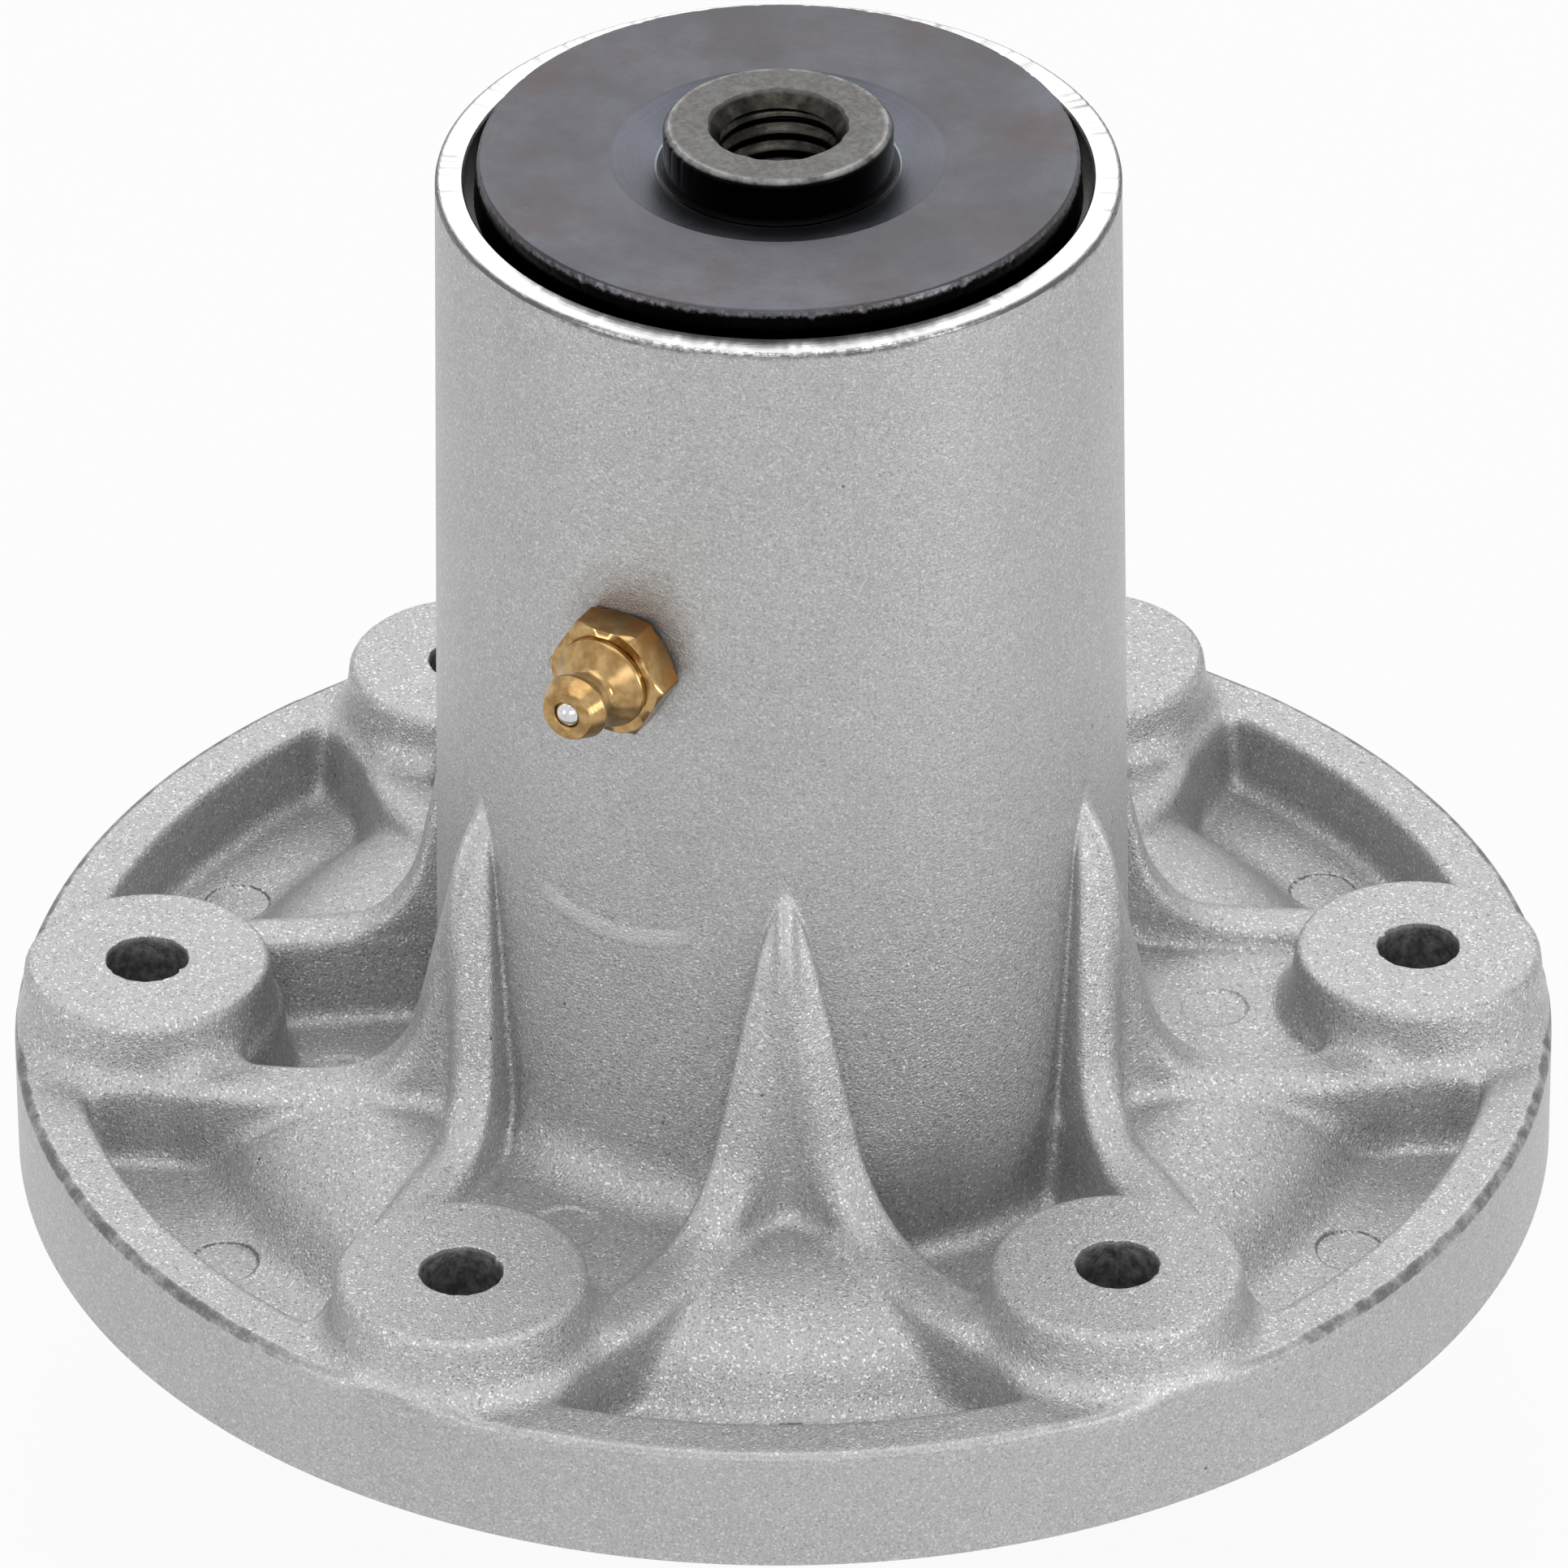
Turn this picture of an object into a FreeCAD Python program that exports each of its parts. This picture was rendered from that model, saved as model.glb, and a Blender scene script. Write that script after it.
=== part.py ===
"""Mower deck spindle, built with its six-bolt flange down and its blade hub up.

Millimetres, +Z towards the blade. The origin is the centre of the flange's flat mounting face.
One bolt boss and the grease nipple lie along -Y.
"""
import FreeCAD, Part
import math
import os

V = FreeCAD.Vector
UP = V(0, 0, 1)

os.makedirs("parts", exist_ok=True)

# Flange and its bolt bosses
bolt_count = 6
bolt_circle_r = 63.5
bolt_hole_r = 4.15
flange_r = 76.9
rim_top_z = 13.0
rim_width = 5.8
rim_draft = 0.3
rim_outer_bevel = 0.8
rim_inner_bevel = 1.0
floor_z = 5.2
floor_corner = 1.6
boss_top_z = 19.7
boss_top_r = 12.2
boss_foot_r = 13.3
boss_collar_r = 14.4
boss_bevel = 0.7

# Pad under each boss, and the channel that is cored out of every second pad
pad_top_z = 12.7
pad_draft = 0.4
pad_bevel = 1.0
pad_half_width_at_boss = 14.9
pad_half_width_at_ribs = 16.4
pad_reach_into_rim = 1.9
pad_waist_rounding = 12.0
channel_half_width = 12.3
channel_draft = 2.0
channel_corner_rounding = 2.5
channel_end_out = 50.9
channel_taper_share = 0.06
channel_end_share = 0.22
channel_corner_share = 0.17

# Domed web between the bosses
dome_foot_r = 58.5
dome_crown_r = 41.0
dome_top_z = 13.8
barrel_foot_fillet = 4.4
dome_chord_count = 4
fillet_chord_count = 3

# Gusset ribs: two beside each boss, leaning in towards it, from the barrel down to the pad
rib_thickness = 4.6
rib_bevel = 1.4
rib_lean = 8.5
rib_offset_at_barrel = 16.4
rib_top_z = 48.0
rib_slope_run = 9.2
rib_crest_z = 13.6
rib_crest_rounding = 13.0
rib_root_depth = 3.9
rib_end_short_of_bolt = 1.5

# Barrel and its bores
housing_height = 110.0
barrel_foot_r = 34.75
barrel_rim_wall = 2.75
barrel_bevel = 0.4
shield_recess_r = 30.45
barrel_top_r = shield_recess_r + barrel_rim_wall
shield_recess_depth = 5.8
bearing_shoulder = 3.0
bore_lead_in = 0.5

# Deep groove ball bearings
bearing_outer_r = 26.0
bearing_bore_r = 12.5
bearing_width = 15.0
pulley_bearing_z = 2.0
blade_bearing_below_recess = 2.2
ball_count = 9
ball_facet_count = 6
ball_r = 3.969
ball_circle_r = 19.25
race_clearance = 0.03
race_conformity = 1.04
inner_land_r = 17.2
outer_land_r = 21.3
race_slope = 50.0
seal_seat_step = 1.7
seal_seat_depth = 2.4
seal_thickness = 1.9
seal_lip_clearance = 0.05
cage_wall = 3.0
cage_back = 5.1
cage_finger = 1.6
cage_pocket_clearance = 0.12

# Tube between the inner rings
spacer_outer_r = 16.0
spacer_bore_clearance = 0.05

# Shaft with its shield disc and blade hub
shield_edge_flare = 0.4
shield_clearance = 0.95
shield_r = shield_recess_r - shield_clearance - shield_edge_flare
shield_proud = 2.2
shield_thickness = 5.0
dish_r = 16.35
dish_depth = 1.2
hub_r = 11.15
hub_proud = 3.4
hub_bevel = 0.6
shaft_collar_r = 15.6
blade_bolt_minor_r = 5.55
blade_bolt_mouth_r = 6.8
blade_bolt_depth = 38.0
drill_point_half_angle = 59.0
journal_stop_inside_ring = 1.0
spline_tooth_count = 20
spline_tip_r = 11.4
spline_root_r = 10.3
spline_tooth_share = 0.46
spline_length = 25.0
nut_thread_r = 7.94
nut_thread_length = 19.0
thread_end_chamfer = 1.2

# Washer and locking nut for the pulley
thread_clearance = 0.03
washer_outer_r = 16.0
washer_thickness = 2.5
nut_across_flats = 23.8
nut_hex_height = 9.5
nut_collar_r = 10.4
nut_collar_height = 4.6
nut_collar_lip = 0.9
nut_chamfer = 0.9
insert_outer_r = 9.5
insert_height = 3.2

# Grease nipple
nipple_side = 1.7
nipple_below_top = 36.4
nipple_seat_gap = 0.12
nipple_shank_r = 3.1
nipple_shank_length = 5.6
nipple_shank_bevel = 0.6
nipple_hole_overdrill = 1.5
nipple_hex_across_flats = 11.1
nipple_hex_thickness = 3.8
nipple_hex_chamfer = 0.5
nipple_shoulder_r = 4.7
nipple_shoulder_step = 0.4
nipple_shoulder_bevel = 0.6
nipple_bell_height = 2.6
nipple_neck_r = 2.45
nipple_neck_flare = 0.5
nipple_neck_flare_length = 0.8
nipple_head_r = 3.4
nipple_head_height = 3.0
nipple_head_back_length = 0.9
nipple_head_band = 0.7
nipple_face_r = 2.6
nipple_length = 11.0
nipple_mouth_r = 1.35
nipple_mouth_depth = 0.4
nipple_seat_length = 0.35
nipple_chamber_r = 1.65
nipple_chamber_depth = 6.0
nipple_passage_r = 0.9
nipple_thread_clearance = 0.05
check_ball_r = 1.55
check_ball_clearance = 0.02
spring_wire_r = 0.16
spring_coil_r = 1.2
spring_turn_count = 4
grease_hole_r = 1.6

# Depth by which one cast form is sunk into another so that they join
sunk = 0.02

# How far inside the barrel's face the forms round it begin, and how far a cut runs past what it opens
root_depth = 5.2
cut_margin = 3.0

# Worked out from the sizes above
rim_inner_r = flange_r - rim_width
root_r = barrel_top_r - root_depth
cored_bore_r = bearing_outer_r - bearing_shoulder
shield_recess_floor_z = housing_height - shield_recess_depth
blade_bearing_z = shield_recess_floor_z - blade_bearing_below_recess - bearing_width
shield_top_z = housing_height + shield_proud
shield_bottom_z = shield_top_z - shield_thickness
dish_floor_z = shield_top_z - dish_depth
hub_top_z = shield_top_z + hub_proud
nipple_z = housing_height - nipple_below_top
journal_end_z = pulley_bearing_z + journal_stop_inside_ring
spline_end_z = journal_end_z - spline_length
shaft_end_z = spline_end_z - nut_thread_length
inner_race_r = ball_circle_r - ball_r - race_clearance
outer_race_r = ball_circle_r + ball_r + race_clearance
groove_r = ball_r * race_conformity
seal_seat_r = outer_land_r + seal_seat_step


def barrel_r(z):
    """Outer radius of the drafted barrel at a height."""
    share = (z - floor_z) / (housing_height - floor_z)
    return barrel_foot_r + (barrel_top_r - barrel_foot_r) * share


def outline(corners):
    """Closed wire through (x, y) corners; a third number rounds that corner with a tangent arc."""
    count = len(corners)
    ends = []
    for i, corner in enumerate(corners):
        here = V(corner[0], corner[1], 0)
        radius = corner[2] if len(corner) > 2 else 0
        if radius == 0:
            ends.append((here, None, here))
            continue
        before = V(corners[i - 1][0], corners[i - 1][1], 0)
        after = V(corners[(i + 1) % count][0], corners[(i + 1) % count][1], 0)
        back = (before - here).normalize()
        ahead = (after - here).normalize()
        half_turn = back.getAngle(ahead) / 2
        start = here + back * (radius / math.tan(half_turn))
        end = here + ahead * (radius / math.tan(half_turn))
        bisector = (back + ahead).normalize()
        middle = here + bisector * (radius / math.sin(half_turn) - radius)
        ends.append((start, middle, end))
    edges = []
    for i, (start, middle, end) in enumerate(ends):
        if middle is not None:
            edges.append(Part.Arc(start, middle, end).toShape())
        next_start = ends[(i + 1) % count][0]
        if (next_start - end).Length > 1e-6:
            edges.append(Part.LineSegment(end, next_start).toShape())
    return Part.Wire(edges)


def chords(centre, radii, start, end, steps):
    """Corners along an arc or a quarter of an ellipse, from one angle in degrees to another."""
    angles = [math.radians(start + (end - start) * i / steps) for i in range(steps + 1)]
    return [(centre[0] + radii[0] * math.cos(a), centre[1] + radii[1] * math.sin(a)) for a in angles]


def turned(profile):
    """Solid of revolution about Z from a flat wire drawn as x = radius, y = height."""
    face = Part.Face(profile)
    face.rotate(V(0, 0, 0), V(1, 0, 0), 90)
    return face.revolve(V(0, 0, 0), UP, 360)


def turned_corners(corners):
    """Solid of revolution from (radius, height, rounding) corners."""
    return turned(outline(corners))


def round_bar(radius, z_low, z_high):
    return Part.makeCylinder(radius, z_high - z_low, V(0, 0, z_low))


def tube(inner, outer, z_low, z_high):
    return turned_corners([(inner, z_low), (outer, z_low), (outer, z_high), (inner, z_high)])


def hexagon(across_flats, z_low, z_high):
    corner_r = across_flats / math.sqrt(3)
    corners = [(corner_r * math.cos(math.radians(60 * i)), corner_r * math.sin(math.radians(60 * i)))
               for i in range(6)]
    face = Part.Face(outline(corners))
    face.translate(V(0, 0, z_low))
    return face.extrude(V(0, 0, z_high - z_low))


def at_azimuth(shape, degrees):
    """Copy of a shape turned about Z; azimuth 0 is -Y and +90 is +X."""
    copy = shape.copy()
    copy.rotate(V(0, 0, 0), UP, degrees)
    return copy


def boss_azimuths():
    return [360 / bolt_count * i for i in range(bolt_count)]


def housing_base():
    """Flange with its rim, plain floor and barrel, bored for the bearings and the shield disc."""
    rim_foot_r = rim_inner_r - rim_draft
    bore = bearing_outer_r
    pulley_top = pulley_bearing_z + bearing_width
    corners = [
        (bore + bore_lead_in, 0),
        (flange_r, 0),
        (flange_r, rim_top_z - rim_outer_bevel),
        (flange_r - rim_outer_bevel, rim_top_z),
        (rim_inner_r + rim_inner_bevel, rim_top_z),
        (rim_inner_r, rim_top_z - rim_inner_bevel),
        (rim_foot_r, floor_z + floor_corner),
        (rim_foot_r - floor_corner, floor_z),
        (barrel_foot_r + floor_corner, floor_z),
        (barrel_r(floor_z + floor_corner), floor_z + floor_corner),
        (barrel_top_r, housing_height - barrel_bevel),
        (barrel_top_r - barrel_bevel, housing_height),
        (shield_recess_r, housing_height),
        (shield_recess_r, shield_recess_floor_z),
        (bore + bore_lead_in, shield_recess_floor_z),
        (bore, shield_recess_floor_z - bore_lead_in),
        (bore, blade_bearing_z),
        (cored_bore_r, blade_bearing_z),
        (cored_bore_r, pulley_top),
        (bore, pulley_top),
        (bore, bore_lead_in),
    ]
    return turned_corners(corners)


def pad():
    """Raised strip from the barrel to the rim that carries one boss, with drafted and bevelled sides."""
    waist_out = bolt_circle_r - boss_collar_r / 2
    shoulder_out = bolt_circle_r - boss_collar_r
    outer_end = rim_inner_r + pad_reach_into_rim
    inner_end = root_r

    def section(z, spread):
        at_boss = pad_half_width_at_boss + spread
        at_ribs = pad_half_width_at_ribs + spread
        right = [(at_ribs, -inner_end), (at_ribs, -shoulder_out, pad_waist_rounding),
                 (at_boss, -waist_out, pad_waist_rounding), (at_boss, -outer_end)]
        left = [(-corner[0],) + corner[1:] for corner in reversed(right)]
        wire = outline(right + left)
        wire.translate(V(0, 0, z))
        return wire

    foot = section(floor_z / 2, pad_draft)
    edge = section(pad_top_z - pad_bevel, 0)
    top = section(pad_top_z, -pad_bevel)
    return Part.makeLoft([foot, edge, top], True, True)


def channel():
    """Core that leaves every second pad open between its ribs, from the barrel to the boss."""
    def section(z, half):
        width = half * 2
        side = half - channel_taper_share * width
        end = half - channel_end_share * width
        corner_out = channel_end_out - channel_corner_share * width
        wire = outline([
            (half, -cored_bore_r),
            (side, -corner_out, channel_corner_rounding),
            (end, -channel_end_out, channel_corner_rounding),
            (-end, -channel_end_out, channel_corner_rounding),
            (-side, -corner_out, channel_corner_rounding),
            (-half, -cored_bore_r),
        ])
        wire.translate(V(0, 0, z))
        return wire

    above = pad_top_z + cut_margin
    slope = channel_draft / (pad_top_z - floor_z)
    at_floor = channel_half_width - channel_draft
    at_top = at_floor + slope * (above - floor_z)
    return Part.makeLoft([section(floor_z, at_floor), section(above, at_top)], True, True)


def foot_fillet(z):
    """Corners of the soft fillet that joins a level surface at one height to the barrel."""
    barrel = barrel_r(z + barrel_foot_fillet) - sunk
    centre = (barrel + barrel_foot_fillet, z + barrel_foot_fillet)
    return chords(centre, (barrel_foot_fillet, barrel_foot_fillet), 270, 180, fillet_chord_count)


def pad_fillet():
    """Fillet from a shallow pad up the barrel, between the pad's two ribs."""
    curve = foot_fillet(pad_top_z - sunk)
    ring = turned_corners([(root_r, floor_z), (curve[0][0], floor_z)] + curve + [(root_r, curve[-1][1])])
    reach = barrel_foot_r * 2
    half = rib_offset_at_barrel - rib_thickness / 2
    strip = Part.makeBox(half * 2, reach, boss_top_z * 2, V(-half, -reach, 0))
    return ring.common(strip)


def domed_web():
    """Web between two bosses: a quarter ellipse that falls from the barrel to the pocket floor."""
    below = floor_z / 2
    radii = (dome_foot_r - dome_crown_r, dome_top_z - floor_z)
    dome = chords((dome_crown_r, floor_z), radii, 0, 90, dome_chord_count)
    curve = foot_fillet(dome_top_z)
    ring = turned_corners([(root_r, below), (dome_foot_r, below)] + dome + curve + [(root_r, curve[-1][1])])
    half_pitch = math.radians(180 / bolt_count)
    apex_out = (pad_half_width_at_ribs - rib_thickness / 2) / math.sin(half_pitch)
    reach = dome_foot_r + cut_margin
    half_at_reach = (reach - apex_out) * math.tan(half_pitch)
    wedge = Part.Face(outline([(0, -apex_out), (half_at_reach, -reach), (-half_at_reach, -reach)]))
    wedge = wedge.extrude(V(0, 0, curve[-1][1] + cut_margin))
    return at_azimuth(ring.common(wedge), 180 / bolt_count)


def rib(side):
    """Gusset rib: a leaning plate with a hollow back, its crest bevelled on both sides."""
    barrel_out = math.sqrt(barrel_r(rib_top_z) ** 2 - rib_offset_at_barrel ** 2)
    steepness = (rib_top_z - rib_crest_z) / rib_slope_run
    inner_out = barrel_out - rib_root_depth
    outer_out = bolt_circle_r - rib_end_short_of_bolt
    below = floor_z / 2
    plate = Part.Face(outline([
        (inner_out, below),
        (outer_out, below),
        (outer_out, rib_crest_z),
        (barrel_out + rib_slope_run, rib_crest_z, rib_crest_rounding),
        (inner_out, rib_top_z + steepness * (barrel_out - inner_out)),
    ]))
    plate.rotate(V(0, 0, 0), V(1, 0, 0), 90)
    plate.translate(V(0, rib_thickness / 2, 0))
    plate = plate.extrude(V(0, -rib_thickness, 0))
    crest = [edge for edge in plate.Edges if edge.BoundBox.YLength < 0.01 and edge.BoundBox.ZMin > pad_top_z]
    plate = plate.makeChamfer(rib_bevel, crest)
    plate.rotate(V(0, 0, 0), UP, -90)
    plate.rotate(V(0, -barrel_out, 0), UP, -side * rib_lean)
    plate.translate(V(side * rib_offset_at_barrel, 0, 0))
    return plate


def boss():
    """Bolt boss with a drafted side that flares into its collar."""
    solid = turned_corners([
        (0, floor_z / 2),
        (boss_collar_r, floor_z / 2),
        (boss_collar_r, pad_top_z),
        (boss_foot_r, pad_top_z + boss_collar_r - boss_foot_r),
        (boss_top_r, boss_top_z - boss_bevel),
        (boss_top_r - boss_bevel, boss_top_z),
        (0, boss_top_z),
    ])
    solid.translate(V(0, -bolt_circle_r, 0))
    return solid.common(round_bar(flange_r - sunk, 0, boss_top_z + cut_margin))


def grease_hole():
    """Tapped hole for the nipple and the narrower way on into the bearing cavity."""
    tapped_r = nipple_shank_r + nipple_thread_clearance
    wall = barrel_foot_r - cored_bore_r
    tapped = round_bar(tapped_r, -nipple_shank_length - nipple_hole_overdrill, nipple_length)
    way_in = round_bar(grease_hole_r, -wall - cut_margin, 0)
    return on_nipple_axis(tapped.fuse(way_in))


def spindle_housing():
    pads = []
    for i, azimuth in enumerate(boss_azimuths()):
        if i % 2 == 0:
            pads.append(at_azimuth(pad(), azimuth))
            pads.append(at_azimuth(pad_fillet(), azimuth))
        else:
            pads.append(at_azimuth(pad().cut(channel()), azimuth))
    webs = [at_azimuth(domed_web(), azimuth) for azimuth in boss_azimuths()]
    ribs = [at_azimuth(rib(side), azimuth) for azimuth in boss_azimuths() for side in (-1, 1)]
    bosses = [at_azimuth(boss(), azimuth) for azimuth in boss_azimuths()]
    casting = housing_base().multiFuse(pads + webs + ribs + bosses)
    hole = round_bar(bolt_hole_r, -cut_margin, boss_top_z + cut_margin)
    hole.translate(V(0, -bolt_circle_r, 0))
    holes = [at_azimuth(hole, azimuth) for azimuth in boss_azimuths()]
    casting = casting.cut(holes + [grease_hole()])
    return casting.removeSplitter()


def spline_bar(z_low, z_high):
    """Bar with straight-sided teeth that turns the pulley."""
    pitch = 360 / spline_tooth_count
    tip_half = pitch * spline_tooth_share / 2
    edges = []

    def point(radius, degrees):
        return V(radius * math.cos(math.radians(degrees)), radius * math.sin(math.radians(degrees)), z_low)

    for i in range(spline_tooth_count):
        middle = pitch * i
        rise = point(spline_root_r, middle - tip_half)
        tip_start = point(spline_tip_r, middle - tip_half)
        tip_end = point(spline_tip_r, middle + tip_half)
        fall = point(spline_root_r, middle + tip_half)
        next_rise = point(spline_root_r, middle + pitch - tip_half)
        edges.append(Part.LineSegment(rise, tip_start).toShape())
        edges.append(Part.Arc(tip_start, point(spline_tip_r, middle), tip_end).toShape())
        edges.append(Part.LineSegment(tip_end, fall).toShape())
        edges.append(Part.Arc(fall, point(spline_root_r, middle + pitch / 2), next_rise).toShape())
    return Part.Face(Part.Wire(edges)).extrude(V(0, 0, z_high - z_low))


def spindle_shaft():
    """Shaft, shield disc and blade hub in one piece, with the blade bolt's hole down the middle."""
    blade_bearing_top = blade_bearing_z + bearing_width
    drill_tip = blade_bolt_minor_r / math.tan(math.radians(drill_point_half_angle))
    hole_floor = hub_top_z - blade_bolt_depth
    mouth = blade_bolt_mouth_r - blade_bolt_minor_r
    body = turned_corners([
        (0, hole_floor - drill_tip),
        (0, journal_end_z),
        (bearing_bore_r - bore_lead_in, journal_end_z),
        (bearing_bore_r, journal_end_z + bore_lead_in),
        (bearing_bore_r, blade_bearing_top),
        (shaft_collar_r, blade_bearing_top),
        (shaft_collar_r, shield_bottom_z),
        (shield_r + shield_edge_flare, shield_bottom_z),
        (shield_r, shield_top_z),
        (dish_r, shield_top_z),
        (hub_r + hub_bevel, dish_floor_z),
        (hub_r, dish_floor_z + hub_bevel),
        (hub_r, hub_top_z - hub_bevel),
        (hub_r - hub_bevel, hub_top_z),
        (blade_bolt_mouth_r, hub_top_z),
        (blade_bolt_minor_r, hub_top_z - mouth),
        (blade_bolt_minor_r, hole_floor),
    ])
    thread = turned_corners([
        (0, shaft_end_z),
        (nut_thread_r - thread_end_chamfer, shaft_end_z),
        (nut_thread_r, shaft_end_z + thread_end_chamfer),
        (nut_thread_r, spline_end_z),
        (0, spline_end_z),
    ])
    return body.multiFuse([spline_bar(spline_end_z, journal_end_z), thread]).removeSplitter()


def race_groove(bottom_r, land_r, middle_z):
    """Corners of a ball race, lower edge first: a flat and two slopes that touch the groove's true arc."""
    slope = math.radians(race_slope)
    land_out = groove_r - abs(bottom_r - land_r)
    half_flat = groove_r * math.tan(slope / 2)
    half_mouth = (groove_r - land_out * math.cos(slope)) / math.sin(slope)
    return [(land_r, middle_z - half_mouth), (bottom_r, middle_z - half_flat),
            (bottom_r, middle_z + half_flat), (land_r, middle_z + half_mouth)]


def outer_ring(z_low, seal_up):
    """Outer ring with its race, and a seat for the seal on the side that faces out."""
    z_high = z_low + bearing_width
    middle = z_low + bearing_width / 2
    low_step = [] if seal_up else [(seal_seat_r, z_low), (seal_seat_r, z_low + seal_seat_depth)]
    high_step = [(seal_seat_r, z_high - seal_seat_depth), (seal_seat_r, z_high)] if seal_up else []
    low_land = z_low if seal_up else z_low + seal_seat_depth
    high_land = z_high - seal_seat_depth if seal_up else z_high
    race = race_groove(outer_race_r, outer_land_r, middle)
    return turned_corners([
        *low_step,
        (outer_land_r, low_land),
        *race,
        (outer_land_r, high_land),
        *high_step,
        (bearing_outer_r, z_high),
        (bearing_outer_r, z_low),
    ])


def inner_ring(z_low):
    z_high = z_low + bearing_width
    race = race_groove(inner_race_r, inner_land_r, z_low + bearing_width / 2)
    return turned_corners([
        (bearing_bore_r, z_low),
        (inner_land_r, z_low),
        *race,
        (inner_land_r, z_high),
        (bearing_bore_r, z_high),
    ])


def ball_places(z_low):
    middle = z_low + bearing_width / 2
    angles = [math.radians(360 / ball_count * i) for i in range(ball_count)]
    return [V(ball_circle_r * math.sin(a), -ball_circle_r * math.cos(a), middle) for a in angles]


def faceted_ball(radius, centre):
    """Ball as flat facets whose corners all lie on the true sphere."""
    columns = ball_facet_count * 2

    def corner(row, column):
        tilt = math.pi * row / ball_facet_count
        turn = 2 * math.pi * (column % columns) / columns
        flat = radius * math.sin(tilt)
        return centre + V(flat * math.cos(turn), flat * math.sin(turn), radius * math.cos(tilt))

    faces = []
    for row in range(ball_facet_count):
        for column in range(columns):
            ring = [corner(row, column), corner(row + 1, column)]
            if row < ball_facet_count - 1:
                ring.append(corner(row + 1, column + 1))
            if row > 0:
                ring.append(corner(row, column + 1))
            faces.append(Part.Face(Part.makePolygon(ring + ring[:1])))
    return Part.Solid(Part.Shell(faces))


def balls(z_low):
    return Part.makeCompound([faceted_ball(ball_r, place) for place in ball_places(z_low)])


def ball_cage(z_low, seal_up):
    """Moulded crown cage: its back ring lies on the side away from the seal, and its pockets open to it."""
    middle = z_low + bearing_width / 2
    low = middle - cage_back if seal_up else middle - cage_finger
    high = middle + cage_finger if seal_up else middle + cage_back
    half_wall = cage_wall / 2
    ring = tube(ball_circle_r - half_wall, ball_circle_r + half_wall, low, high)
    pocket_r = ball_r + cage_pocket_clearance
    outward = V(0, 0, middle)
    pockets = [Part.makeCylinder(pocket_r, ball_circle_r + cage_wall, outward, place - outward)
               for place in ball_places(z_low)]
    return ring.cut(pockets)


def seal(z_low, seal_up):
    """Rubber-covered washer in the outer ring's seat; its lip runs just clear of the inner ring."""
    low = z_low + bearing_width - seal_seat_depth if seal_up else z_low + seal_seat_depth - seal_thickness
    lip_r = inner_land_r + seal_lip_clearance
    return tube(lip_r, seal_seat_r, low, low + seal_thickness)


def inner_ring_spacer():
    return tube(bearing_bore_r + spacer_bore_clearance, spacer_outer_r,
                pulley_bearing_z + bearing_width, blade_bearing_z)


def pulley_washer():
    bore = nut_thread_r + thread_clearance
    return tube(bore, washer_outer_r, spline_end_z - washer_thickness, spline_end_z)


def nut_heights():
    """Seat, end of the hexagon, and end of the collar, from the washer downwards."""
    seat = spline_end_z - washer_thickness
    hex_end = seat - nut_hex_height
    return seat, hex_end, hex_end - nut_collar_height


def pulley_nut():
    """Locking nut: hexagon with turned corners, and a collar rolled over its insert."""
    seat, hex_end, collar_end = nut_heights()
    corner_r = nut_across_flats / math.sqrt(3)
    bore = nut_thread_r + thread_clearance
    turned_limit = turned_corners([
        (bore, collar_end),
        (nut_collar_r - nut_collar_lip, collar_end),
        (nut_collar_r, collar_end + nut_collar_lip),
        (nut_collar_r, hex_end),
        (corner_r - nut_chamfer, hex_end),
        (corner_r, hex_end + nut_chamfer / 2),
        (corner_r, seat - nut_chamfer / 2),
        (corner_r - nut_chamfer, seat),
        (bore, seat),
    ])
    collar = round_bar(nut_collar_r, collar_end, hex_end + cut_margin)
    nut = hexagon(nut_across_flats, hex_end, seat).fuse(collar).common(turned_limit)
    insert_seat = round_bar(insert_outer_r, hex_end - insert_height, hex_end)
    return nut.cut(insert_seat).removeSplitter()


def nut_lock_insert():
    hex_end = nut_heights()[1]
    return tube(nut_thread_r + thread_clearance, insert_outer_r, hex_end - insert_height, hex_end)


def on_nipple_axis(shape):
    """Lay a shape that stands on Z along the nipple's axis; its zero plane lies just off the barrel."""
    copy = shape.copy()
    copy.rotate(V(0, 0, 0), V(1, 0, 0), 90)
    copy.translate(V(nipple_side, -barrel_r(nipple_z) - nipple_seat_gap, nipple_z))
    return copy


def check_ball_height():
    """Height of the ball's centre along the nipple, where it closes the mouth."""
    contact = math.sqrt((check_ball_r + check_ball_clearance) ** 2 - nipple_mouth_r ** 2)
    return nipple_length - nipple_mouth_depth - contact


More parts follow.
